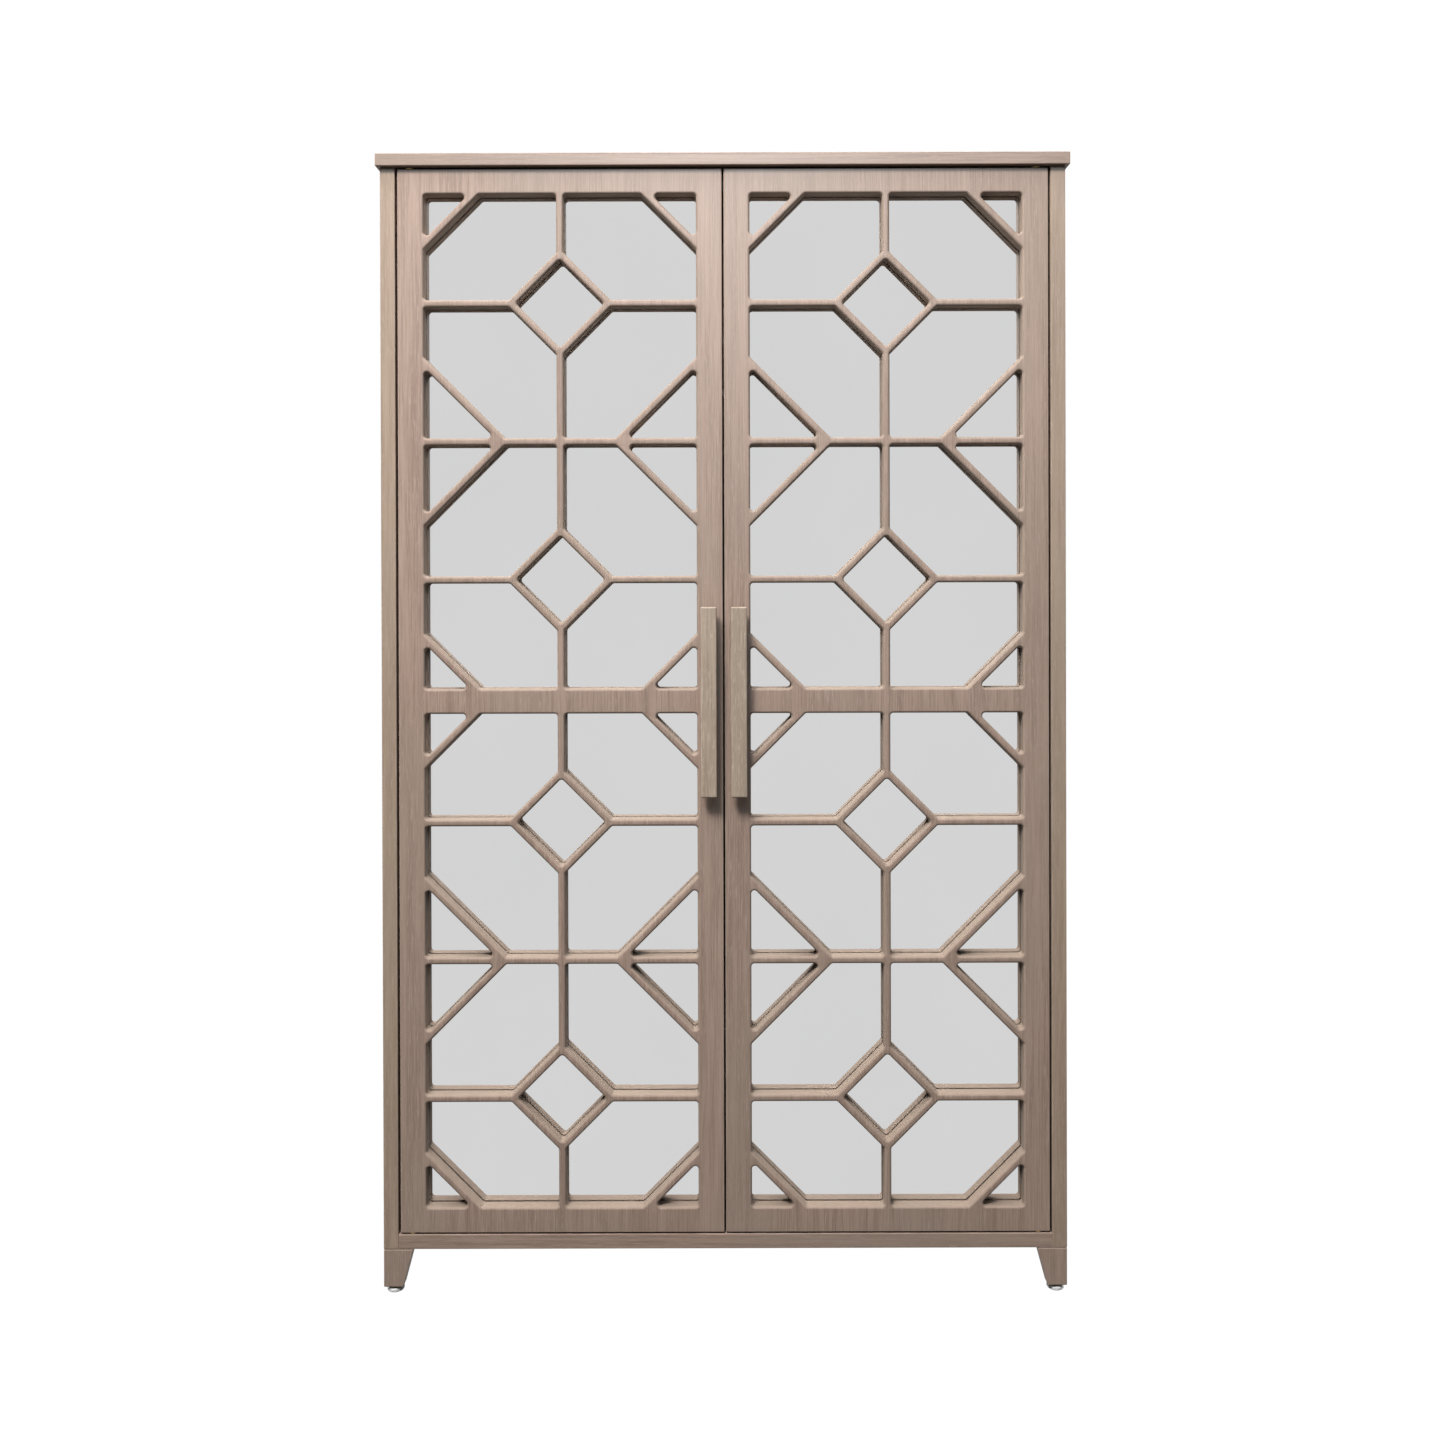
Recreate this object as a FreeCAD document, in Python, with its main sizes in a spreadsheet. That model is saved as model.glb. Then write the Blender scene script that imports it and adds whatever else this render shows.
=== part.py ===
import FreeCAD, Part

import math
import os
import re

import Sketcher

# A two-door armoire. X runs from left to right, -Y is the front and Z is up.
# The origin is on the floor, under the centre of the whole piece with its handles. All sizes are in mm.

SIZES = {
    # outside of the case
    "overall_height": 2007, "top_width": 1219, "top_depth": 508, "top_thickness": 22, "top_arris": 1.5,
    "case_width": 1206, "front_overhang": 10, "side_thickness": 26,
    "rail_height": 26, "rail_depth": 45, "rail_dowel_inset": 10, "floor_thickness": 20,
    "back_thickness": 6, "back_rebate": 10, "back_recess": 2,
    # feet and glides
    "foot_height": 67, "foot_top": 52, "foot_toe": 34, "foot_board": 22,
    "glide_height": 11, "glide_disc_height": 7, "glide_disc_radius": 15, "glide_neck_radius": 7,
    "glide_stem_radius": 4, "glide_stem_length": 26, "glide_arris": 2, "glide_travel": 8,
    # inside of the case
    "shelf_thickness": 22, "hat_shelf_height": 1700, "housing_depth": 8, "shelf_setback": 12,
    "loose_shelf_height": 450, "loose_shelf_thickness": 20, "loose_shelf_play": 2,
    "shelf_pin_radius": 2.5, "shelf_pin_depth": 10, "shelf_pin_reach": 12, "shelf_pin_inset": 50,
    "shelf_pin_pitch": 64, "hanging_rod_height": 1630, "hanging_rod_radius": 12.5, "hanging_rod_wall": 1.5,
    "socket_plate_radius": 30, "socket_plate_thickness": 3, "socket_cup_radius": 16,
    "socket_cup_length": 16, "socket_screw_offset": 22,
    # doors
    "hinge_gap": 4, "meeting_gap": 3, "door_gap": 3, "opening_width": 480, "door_rail_height": 44,
    "fretwork_depth": 22, "mirror_thickness": 4, "backing_thickness": 8, "back_strip_width": 40,
    "glass_play": 1,
    # fretwork pattern, on the centre lines of the bars
    "bar_width": 12.7, "cell_to_rail": 192.25, "diamond_reach": 86.7, "corner_reach": 344,
    # pivots
    "pivot_inset": 20, "pivot_setback": 12, "pivot_radius": 4, "pivot_in_door": 30,
    "pivot_in_bush": 12, "bush_radius": 6, "bush_length": 14, "bush_flange_radius": 9,
    "top_flange": 1, "bottom_flange": 2.9,
    # handles
    "handle_reach": 28, "handle_thickness": 14, "handle_width": 28, "handle_length": 332,
    "handle_inset": 25, "handle_arris": 2, "handle_post_radius": 7, "handle_post_offset": 120,
    "handle_bolt_radius": 2, "handle_bolt_bite": 9, "handle_bolt_head": 4, "handle_bolt_head_depth": 2.4,
    # catches and stop
    "stop_depth": 20, "stop_height": 30, "stop_setback": 10, "catch_width": 44, "catch_height": 14,
    "catch_depth": 8, "catch_drop": 10, "strike_width": 28, "strike_height": 12, "strike_thickness": 1.8,
    "catch_screw_offset": 18,
    # fastenings
    "dowel_radius": 4, "dowel_in_end": 15, "dowel_in_face": 13, "dowel_in_side": 22,
    "bolt_radius": 4, "bolt_half_length": 28,
    "screw_radius": 1.6, "screw_bite": 14, "screw_head_radius": 3.2, "screw_head_depth": 1.6,
    "screw_tip_play": 1.5, "back_screw_inset": 5, "fit_play": 0.05,
}

# Places and sizes that follow from the driving sizes.
DERIVED = {
    "case_depth": "top_depth - front_overhang",
    "front": "(handle_reach - case_depth) / 2",
    "back": "front + case_depth",
    "outer_back": "back - back_recess",
    "inner_back": "outer_back - back_thickness",
    "inside": "case_width / 2 - side_thickness",
    "case_bottom": "glide_height + foot_height",
    "case_top": "overall_height - top_thickness",
    "case_floor": "case_bottom + rail_height",
    "side_middle": "case_width / 2 - side_thickness / 2",
    "door_bottom": "case_floor + door_gap",
    "door_height": "case_top - door_gap - door_bottom",
    "door_top": "case_top - door_gap",
    "door_middle": "door_bottom + door_height / 2",
    "door_width": "inside - hinge_gap - meeting_gap / 2",
    "stile_width": "(door_width - opening_width) / 2",
    "meeting_edge": "meeting_gap / 2",
    "opening_edge": "meeting_edge + stile_width",
    "opening_middle": "opening_edge + opening_width / 2",
    "hinge_stile_edge": "opening_edge + opening_width",
    "section_height": "(door_height - 3 * door_rail_height) / 2",
    "back_of_fretwork": "front + fretwork_depth",
    "back_of_mirror": "back_of_fretwork + mirror_thickness",
    "door_back": "back_of_mirror + backing_thickness",
    "pivot_x": "inside - hinge_gap - pivot_inset",
    "pivot_y": "front + pivot_setback",
    "shelf_front": "door_back + shelf_setback",
    "shelf_depth": "inner_back - shelf_front",
    "shelf_middle": "(inner_back + shelf_front) / 2",
    "handle_x": "meeting_edge + handle_inset",
    "handle_gap": "handle_reach - handle_thickness",
    "stop_front": "door_back + stop_setback",
    "catch_middle": "case_top - catch_drop - catch_height / 2 - door_gap",
    "catch_x": "meeting_edge + catch_width / 2",
    "dowel_hole": "dowel_radius + fit_play",
}

SIDES = {"left": -1, "right": 1}
NEAR = 1e-6
AXIS_TURNS = {
    "x": FreeCAD.Rotation(FreeCAD.Vector(0, 1, 0), 90),
    "y": FreeCAD.Rotation(FreeCAD.Vector(1, 0, 0), -90),
    "z": FreeCAD.Rotation(),
}

doc = FreeCAD.newDocument("Armoire")
sheet = doc.addObject("Spreadsheet::Sheet", "Sizes")
nodes = {}
trimmed = []


def fill_sheet():
    """Write each driving size beside its name and give the cell that name as its alias."""
    for row, (name, number) in enumerate(SIZES.items(), start=1):
        sheet.set(f"A{row}", name)
        sheet.set(f"B{row}", str(number))
        sheet.setAlias(f"B{row}", name)
    doc.recompute()


def expand(text):
    """Turn a formula in plain names into one that reads the sheet."""
    def swap(match):
        word = match.group(0)
        if word in DERIVED:
            return "(" + expand(DERIVED[word]) + ")"
        return "Sizes." + word if word in SIZES else word
    return re.sub(r"[a-z_]+", swap, str(text))


def value(text):
    """The number that a formula gives with the sheet's present values."""
    return float(sheet.evalExpression(expand(text)))


def bind(thing, prop, text):
    """Bind one property of an object to a formula in plain names."""
    thing.setExpression(prop, expand(text))


def place(thing, low):
    """Bind the position of an object to three formulas."""
    for axis, text in zip("xyz", low):
        bind(thing, f"Placement.Base.{axis}", text)


def keep(label, thing):
    """Name a finished piece and list it as a node."""
    thing.Label = label
    nodes[label] = thing
    return thing


def off_centre(sign, near, width):
    """Formula of a piece's lowest X, from the distance of its near edge to the centre plane."""
    return near if sign > 0 else f"-({near}) - ({width})"


# Plain shapes bound to the sheet.

def block(size, low):
    """A box from its size and its lowest corner."""
    box = doc.addObject("Part::Box", "Block")
    for prop, text in zip(("Length", "Width", "Height"), size):
        bind(box, prop, text)
    place(box, low)
    return box


def rod(axis, radius, length, start):
    """A cylinder that runs along an axis from its start point."""
    cylinder = doc.addObject("Part::Cylinder", "Rod")
    bind(cylinder, "Radius", radius)
    bind(cylinder, "Height", length)
    cylinder.Placement.Rotation = AXIS_TURNS[axis]
    place(cylinder, start)
    return cylinder


def bundle(pieces):
    """Several separate solids held as one shape."""
    compound = doc.addObject("Part::Compound", "Bundle")
    compound.Links = pieces
    return compound


def trim(base, tools):
    """Cut a list of tools out of a base shape."""
    result = doc.addObject("Part::Cut", "Trimmed")
    result.Base = base
    result.Tool = tools[0] if len(tools) == 1 else bundle(tools)
    trimmed.append(result)
    return result


def join(pieces):
    """Fuse shapes into one solid."""
    result = doc.addObject("Part::MultiFuse", "Joined")
    result.Shapes = pieces
    return result


# Bodies made from sketches.

def outline(body, role, corners):
    """A closed sketch of straight lines on a plane of the body, with each corner bound to formulas."""
    sketch = body.newObject("Sketcher::SketchObject", "Outline")
    plane = next(item for item in body.Origin.OriginFeatures if item.Role == role)
    sketch.AttachmentSupport = [(plane, "")]
    sketch.MapMode = "FlatFace"
    count = len(corners)
    spots = [FreeCAD.Vector(*(value(text) for text in corner), 0) for corner in corners]
    for index in range(count):
        sketch.addGeometry(Part.LineSegment(spots[index], spots[(index + 1) % count]))
    for index in range(count):
        sketch.addConstraint(Sketcher.Constraint("Coincident", index, 2, (index + 1) % count, 1))
    for index, (across, up) in enumerate(corners):
        for kind, text in (("DistanceX", across), ("DistanceY", up)):
            number = sketch.addConstraint(Sketcher.Constraint(kind, -1, 1, index, 1, value(text)))
            sketch.setExpression(f"Constraints[{number}]", expand(text))
    return sketch


def rectangle(width, depth):
    """Corners of a rectangle that starts at the origin."""
    return [("0", "0"), (width, "0"), (width, depth), ("0", depth)]


def board(size, low, arris=None):
    """A sawn board: a rectangle padded upwards, with its edges eased where an arris is given."""
    body = doc.addObject("PartDesign::Body", "Board")
    sketch = outline(body, "XY_Plane", rectangle(size[0], size[1]))
    pad = body.newObject("PartDesign::Pad", "Thickness")
    pad.Profile = sketch
    bind(pad, "Length", size[2])
    if arris:
        doc.recompute()
        eased = body.newObject("PartDesign::Fillet", "Arris")
        eased.Base = (pad, [f"Edge{number}" for number in range(1, len(pad.Shape.Edges) + 1)])
        bind(eased, "Radius", arris)
    place(body, low)
    return body


def turned(profile, low, turn=None):
    """A turned piece: a half section in (radius, height) revolved about its own upright axis."""
    body = doc.addObject("PartDesign::Body", "Turned")
    sketch = outline(body, "XZ_Plane", profile)
    spin = body.newObject("PartDesign::Revolution", "Spin")
    spin.Profile = sketch
    spin.ReferenceAxis = (sketch, ["V_Axis"])
    spin.Angle = 360
    if turn:
        body.Placement.Rotation = turn
    place(body, low)
    return body


def bracket(low, sign_x, sign_y):
    """A corner foot of two tapered boards: upright outer faces, and inner edges that slope in to the toe."""
    body = doc.addObject("PartDesign::Body", "Foot")
    for role, sign, flip in (("XZ_Plane", sign_x, sign_y < 0), ("YZ_Plane", sign_y, sign_x > 0)):
        toe, top = f"{-sign} * foot_toe", f"{-sign} * foot_top"
        board_outline = outline(body, role, [
            ("0", "0"), (toe, "0"), (top, "foot_height"), ("0", "foot_height")])
        arm = body.newObject("PartDesign::Pad", "Arm")
        arm.Profile = board_outline
        arm.Reversed = flip
        bind(arm, "Length", "foot_board")
    place(body, low)
    return body


# The case.

def make_top():
    """Top board, with its underside bored for the pivot bushes and the dowels."""
    slab = board(("top_width", "top_depth", "top_thickness"),
                 ("-top_width / 2", "front - front_overhang", "case_top"), "top_arris")
    bores = []
    for sign in SIDES.values():
        bores.append(rod("z", "bush_radius + fit_play", "bush_length",
                         (f"{sign} * pivot_x", "pivot_y", "case_top")))
        bores += [rod("z", "dowel_hole", "dowel_in_face", (f"{sign} * side_middle", y, "case_top"))
                  for y in side_dowel_places()]
    keep("top_board", trim(slab, bores))


def side_dowel_places():
    """Y of the three dowels that join the top to each side."""
    return [f"front + case_depth * {share}" for share in (0.15, 0.5, 0.85)]


def rail_dowel_places():
    """Y of the dowels at each end of the front and the back rail."""
    return [
        "front + rail_dowel_inset", "front + rail_depth - rail_dowel_inset",
        "inner_back - rail_depth + rail_dowel_inset", "inner_back - rail_dowel_inset",
    ]


def shelf_pin_columns():
    """Y of the two columns of shelf pin holes."""
    return ["shelf_front + shelf_pin_inset", "inner_back - shelf_pin_inset"]


def shelf_pin_height(step):
    """Z of a shelf pin's axis, counted in holes from the one that holds the shelf."""
    return f"loose_shelf_height - loose_shelf_thickness - shelf_pin_radius + {step} * shelf_pin_pitch"


def foot_bolt_places():
    """Y of the hanger bolts that hold the front and the back foot."""
    return ["front + rail_depth / 2", "inner_back - rail_depth / 2"]


def make_sides():
    """Case sides, housed for the hat shelf, rebated for the back and bored for pins, dowels and bolts."""
    for name, sign in SIDES.items():
        side = block(("side_thickness", "case_depth", "case_top - case_bottom"),
                     (off_centre(sign, "inside", "side_thickness"), "front", "case_bottom"))
        tools = [
            block(("housing_depth", "case_depth", "shelf_thickness"),
                  (off_centre(sign, "inside", "housing_depth"), "shelf_front",
                   "hat_shelf_height - shelf_thickness")),
            block(("back_rebate", "back_thickness + back_recess", "overall_height"),
                  (off_centre(sign, "inside", "back_rebate"), "inner_back", "0")),
        ]
        tools += [rod("z", "dowel_hole", "dowel_in_side",
                      (f"{sign} * side_middle", y, "case_top - dowel_in_side")) for y in side_dowel_places()]
        tools += [rod("z", "bolt_radius + fit_play", "bolt_half_length",
                      (f"{sign} * side_middle", y, "case_bottom")) for y in foot_bolt_places()]
        tools += [rod("x", "dowel_hole", "dowel_in_face",
                      (off_centre(sign, "inside", "dowel_in_face"), y, "case_bottom + rail_height / 2"))
                  for y in rail_dowel_places()]
        tools += [rod("x", "shelf_pin_radius + fit_play", "shelf_pin_depth",
                      (off_centre(sign, "inside", "shelf_pin_depth"), y, shelf_pin_height(step)))
                  for y in shelf_pin_columns() for step in range(-1, 4)]
        tools += [rod("x", "screw_radius + fit_play", "screw_bite",
                      (off_centre(sign, "inside", "screw_bite"), "shelf_middle", z))
                  for z in socket_screw_heights()]
        tools += [rod("y", "screw_radius + fit_play", "screw_bite",
                      (f"{sign} * (inside + back_screw_inset)", "inner_back - screw_bite", z))
                  for z in back_screw_heights()]
        keep(f"side_{name}", trim(side, tools))


def make_floor():
    """Front and back rails, doweled between the sides, and the floor board between the rails."""
    for name, low_y, places in (("front_rail", "front", rail_dowel_places()[:2]),
                                ("back_rail", "inner_back - rail_depth", rail_dowel_places()[2:])):
        rail = board(("2 * inside", "rail_depth", "rail_height"), ("-inside", low_y, "case_bottom"))
        tools = []
        for sign in SIDES.values():
            tools += [rod("x", "dowel_hole", "dowel_in_end",
                          (off_centre(sign, "inside - dowel_in_end", "dowel_in_end"), y,
                           "case_bottom + rail_height / 2")) for y in places]
            if name == "front_rail":
                tools.append(rod("z", "bush_radius + fit_play", "bush_length",
                                 (f"{sign} * pivot_x", "pivot_y", "case_floor - bush_length")))
            else:
                tools.append(rod("y", "screw_radius + fit_play", "screw_bite",
                                 (f"{sign} * inside / 2", "inner_back - screw_bite",
                                  "case_bottom + rail_height / 2")))
        keep(name, trim(rail, tools))
    keep("floor_board", board(
        ("2 * inside", "inner_back - front - 2 * rail_depth", "floor_thickness"),
        ("-inside", "front + rail_depth", "case_floor - floor_thickness")))


def back_screw_heights():
    """Z of the screws along each side of the back panel."""
    shares = [0.04 + 0.184 * step for step in range(6)]
    return [f"case_bottom + (case_top - case_bottom) * {share:.3f}" for share in shares]


def make_back():
    """Back panel in the rebates, and its round-headed screws."""
    panel = board(("2 * (inside + back_rebate)", "back_thickness", "case_top - case_bottom"),
                  ("-inside - back_rebate", "inner_back", "case_bottom"))
    spots = [(f"{sign} * (inside + back_screw_inset)", z)
             for sign in SIDES.values() for z in back_screw_heights()]
    spots += [(f"{sign} * inside / 2", "case_bottom + rail_height / 2") for sign in SIDES.values()]
    holes = [rod("y", "screw_radius + fit_play", "back_thickness", (x, "inner_back", z)) for x, z in spots]
    keep("back_panel", trim(panel, holes))
    keep("back_panel_screws", bundle([
        screw((x, "outer_back", z), "y", 1, "back_thickness") for x, z in spots]))


def screw(seat, axis, outward, through):
    """A round-headed screw through a piece, its head standing outward (1 or -1 on the axis) from the seat."""
    shank = list(seat)
    head = list(seat)
    spot = "xyz".index(axis)
    length = f"(screw_bite + {through} - screw_tip_play)"
    moved, shift = (shank, length) if outward > 0 else (head, "screw_head_depth")
    moved[spot] = f"{seat[spot]} - {shift}"
    return join([rod(axis, "screw_radius", length, shank),
                 rod(axis, "screw_head_radius", "screw_head_depth", head)])


def make_shelves():
    """Hat shelf in its housings, and the loose shelf on four pins."""
    keep("hat_shelf", board(("2 * (inside + housing_depth)", "shelf_depth", "shelf_thickness"),
                            ("-inside - housing_depth", "shelf_front", "hat_shelf_height - shelf_thickness")))
    keep("adjustable_shelf", board(
        ("2 * (inside - loose_shelf_play)", "shelf_depth - loose_shelf_play", "loose_shelf_thickness"),
        ("loose_shelf_play - inside", "shelf_front", "loose_shelf_height - loose_shelf_thickness")))
    keep("shelf_pins", bundle([
        rod("x", "shelf_pin_radius", "shelf_pin_depth + shelf_pin_reach",
            (off_centre(sign, "inside - shelf_pin_reach", "shelf_pin_depth + shelf_pin_reach"), y,
             shelf_pin_height(0)))
        for sign in SIDES.values() for y in shelf_pin_columns()]))


def socket_screw_heights():
    """Z of the two screws of each rod socket."""
    return [f"hanging_rod_height + {turn} * socket_screw_offset" for turn in (-1, 1)]


def make_hanging_rod():
    """Tubular hanging rod between two screwed sockets."""
    inner = "hanging_rod_radius - hanging_rod_wall"
    half = "(inside - socket_plate_thickness)"
    tube = [(inner, f"-{half}"), ("hanging_rod_radius", f"-{half}"),
            ("hanging_rod_radius", half), (inner, half)]
    keep("hanging_rod", turned(tube, ("0", "shelf_middle", "hanging_rod_height"), AXIS_TURNS["x"]))
    bore = "hanging_rod_radius + 2 * fit_play"
    cup = [("0", "0"), ("socket_plate_radius", "0"), ("socket_plate_radius", "socket_plate_thickness"),
           ("socket_cup_radius", "socket_plate_thickness"), ("socket_cup_radius", "socket_cup_length"),
           (bore, "socket_cup_length"), (bore, "socket_plate_thickness"), ("0", "socket_plate_thickness")]
    for name, sign in SIDES.items():
        turn = FreeCAD.Rotation(FreeCAD.Vector(0, 1, 0), -90 * sign)
        socket = turned(cup, (f"{sign} * inside", "shelf_middle", "hanging_rod_height"), turn)
        holes = [rod("x", "screw_radius + fit_play", "socket_plate_thickness",
                     (off_centre(sign, "inside - socket_plate_thickness", "socket_plate_thickness"),
                      "shelf_middle", z)) for z in socket_screw_heights()]
        keep(f"rod_socket_{name}", trim(socket, holes))


def make_feet():
    """Four bracket feet, their hanger bolts, and the screw-in glides that level the case."""
    bolts = []
    for depth_name, sign_y, y_outer, bolt_y in (("front", -1, "front", foot_bolt_places()[0]),
                                                ("back", 1, "back", foot_bolt_places()[1])):
        for name, sign in SIDES.items():
            foot = bracket((f"{sign} * case_width / 2", y_outer, "glide_height"), sign, sign_y)
            stem_x = f"{sign} * (case_width / 2 - foot_toe / 2)"
            stem_y = f"{y_outer} + {-sign_y} * foot_toe / 2"
            bolt_x = f"{sign} * side_middle"
            keep(f"foot_{depth_name}_{name}", trim(foot, [
                rod("z", "glide_stem_radius + fit_play", "glide_stem_length + 1",
                    (stem_x, stem_y, "glide_height")),
                rod("z", "bolt_radius + fit_play", "bolt_half_length",
                    (bolt_x, bolt_y, "case_bottom - bolt_half_length")),
            ]))
            bolts.append(rod("z", "bolt_radius", "2 * bolt_half_length",
                             (bolt_x, bolt_y, "case_bottom - bolt_half_length")))
            profile = [
                ("0", "0"), ("glide_disc_radius - glide_arris", "0"), ("glide_disc_radius", "glide_arris"),
                ("glide_disc_radius", "glide_disc_height - glide_arris"),
                ("glide_disc_radius - glide_arris", "glide_disc_height"),
                ("glide_neck_radius", "glide_disc_height"), ("glide_neck_radius", "glide_height"),
                ("glide_stem_radius", "glide_height"),
                ("glide_stem_radius", "glide_height + glide_stem_length"),
                ("0", "glide_height + glide_stem_length")]
            keep(f"glide_{depth_name}_{name}", turned(profile, (stem_x, stem_y, "0")))
    keep("foot_bolts", bundle(bolts))


def make_dowels():
    """Dowels between the top and the sides, and between the rails and the sides."""
    dowels = []
    for sign in SIDES.values():
        dowels += [rod("z", "dowel_radius", "dowel_in_side + dowel_in_face",
                       (f"{sign} * side_middle", y, "case_top - dowel_in_side")) for y in side_dowel_places()]
        dowels += [rod("x", "dowel_radius", "dowel_in_end + dowel_in_face",
                       (off_centre(sign, "inside - dowel_in_end", "dowel_in_end + dowel_in_face"), y,
                        "case_bottom + rail_height / 2")) for y in rail_dowel_places()]
    keep("case_dowels", bundle(dowels))


def make_bushes():
    """Flanged pivot bushes in the top board and in the front rail."""
    bore = "pivot_radius + fit_play"
    for name, flange, seat, flip in (("pivot_bushes_top", "top_flange", "case_top", 0),
                                     ("pivot_bushes_bottom", "bottom_flange", "case_floor", 180)):
        section = [(bore, f"-{flange}"), ("bush_flange_radius", f"-{flange}"), ("bush_flange_radius", "0"),
                   ("bush_radius", "0"), ("bush_radius", "bush_length"), (bore, "bush_length")]
        turn = FreeCAD.Rotation(FreeCAD.Vector(1, 0, 0), flip)
        keep(name, bundle([turned(section, (f"{sign} * pivot_x", "pivot_y", seat), turn)
                           for sign in SIDES.values()]))


def make_stop():
    """Stop rail behind the tops of the doors, with a magnetic catch for each door."""
    rail = board(("2 * inside", "stop_depth", "stop_height"),
                 ("-inside", "stop_front", "case_top - stop_height"))
    spots = [f"{sign} * (catch_x + {turn} * catch_screw_offset)"
             for sign in SIDES.values() for turn in (-1, 1)]
    keep("door_stop_rail", trim(rail, [
        rod("y", "screw_radius + fit_play", "screw_bite", (x, "stop_front", "catch_middle")) for x in spots]))
    for name, sign in SIDES.items():
        housing = block(("catch_width", "catch_depth", "catch_height"),
                        (off_centre(sign, "catch_x - catch_width / 2", "catch_width"),
                         "stop_front - catch_depth", "catch_middle - catch_height / 2"))
        keep(f"catch_{name}", trim(housing, [
            rod("y", "screw_radius + fit_play", "catch_depth",
                (f"{sign} * (catch_x + {turn} * catch_screw_offset)",
                 "stop_front - catch_depth", "catch_middle")) for turn in (-1, 1)]))
    screws = [screw((x, "stop_front - catch_depth", "catch_middle"), "y", -1, "catch_depth") for x in spots]
    for sign in SIDES.values():
        seat = f"{sign} * (inside - socket_plate_thickness)"
        screws += [screw((seat, "shelf_middle", z), "x", -sign, "socket_plate_thickness")
                   for z in socket_screw_heights()]
    keep("hardware_screws", bundle(screws))


# The doors.

def lattice_lines(half_width, section, to_rail, diamond, corner):
    """Centre lines of the bars in one section, from its middle, and the walls that they run into."""
    middle_bar = section / 2 - to_rail
    lines = []
    bar_ends = [0.0, corner - middle_bar, half_width]
    for side in (-1, 1):
        for start, end in zip(bar_ends, bar_ends[1:]):
            lines.append(((side * start, 0.0), (side * end, 0.0)))
        for updown in (-1, 1):
            centre = updown * middle_bar
            tip = (side * diamond, centre)
            lines.append((tip, (side * half_width, centre)))
            lines.append((tip, (0.0, centre + diamond)))
            lines.append((tip, (0.0, centre - diamond)))
            rail_x = side * (corner - to_rail)
            cut = updown * (corner - half_width)
            lines.append(((side * half_width, centre + cut), (rail_x, updown * section / 2)))
            lines.append(((side * half_width, centre - cut), (side * (corner - middle_bar), 0.0)))
    for updown in (-1, 1):
        centre = updown * middle_bar
        lines.append(((0.0, centre + updown * diamond), (0.0, updown * section / 2)))
        lines.append(((0.0, 0.0), (0.0, centre - updown * diamond)))
    return lines


def mitred_end(spot, other, lines, width):
    """Corners of a bar where it meets other bars, mitred against its neighbours; none where it is alone."""
    along = math.atan2(other[1] - spot[1], other[0] - spot[0])
    turns = []
    for line in lines:
        for here, there in (line, line[::-1]):
            if math.dist(here, spot) < NEAR and math.dist(there, other) > NEAR:
                turn = math.atan2(there[1] - here[1], there[0] - here[0]) - along
                turns.append(turn % (2 * math.pi))
    if not turns:
        return []
    ahead = (math.cos(along), math.sin(along))
    corners = [spot]
    for turn, shift, order in ((2 * math.pi - max(turns), -width / 2, 0), (min(turns), width / 2, 2)):
        reach = width / 2 / math.tan(turn / 2)
        corners.insert(order, (spot[0] + ahead[0] * reach - ahead[1] * shift,
                               spot[1] + ahead[1] * reach + ahead[0] * shift))
    return corners


def wall_end(spot, other, half_width, width):
    """Corners of a bar where it runs into a stile or a rail, cut flush with that edge."""
    ahead = (other[0] - spot[0], other[1] - spot[1])
    length = math.hypot(*ahead)
    ahead = (ahead[0] / length, ahead[1] / length)
    across = (-ahead[1] * width / 2, ahead[0] * width / 2)
    wall = 0 if abs(abs(spot[0]) - half_width) < NEAR else 1
    corners = []
    for turn in (-1, 1):
        edge = (spot[0] + turn * across[0], spot[1] + turn * across[1])
        reach = (spot[wall] - edge[wall]) / ahead[wall]
        corners.append((edge[0] + ahead[0] * reach, edge[1] + ahead[1] * reach))
    return corners


def lattice_bars(half_width, width, lines):
    """Outlines of all the bars of one section, as convex polygons that meet edge to edge."""
    bars = []
    for line in lines:
        corners = []
        for spot, other in (line, line[::-1]):
            corners += mitred_end(spot, other, lines, width) or wall_end(spot, other, half_width, width)
        bars.append(corners)
    return bars


def make_lattice(name, sign):
    """Lattice of a door: two sections of bars, each bar a separate mitred solid."""
    half_width = value("opening_width / 2")
    section = value("section_height")
    width = value("bar_width")
    depth = value("fretwork_depth")
    lines = lattice_lines(half_width, section, value("cell_to_rail"),
                          value("diamond_reach"), value("corner_reach"))
    solids = []
    for updown in (-1, 1):
        middle = value(f"door_middle + {updown} * (section_height + door_rail_height) / 2")
        for corners in lattice_bars(half_width, width, lines):
            points = [FreeCAD.Vector(x, 0, middle + z) for x, z in corners]
            face = Part.Face(Part.makePolygon(points + points[:1]))
            solids.append(face.extrude(FreeCAD.Vector(0, depth, 0)))
    lattice = doc.addObject("Part::Feature", "Lattice")
    lattice.Shape = Part.makeCompound(solids)
    place(lattice, (f"{sign} * opening_middle", "front", "0"))
    keep(f"door_{name}_lattice", lattice)


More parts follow.
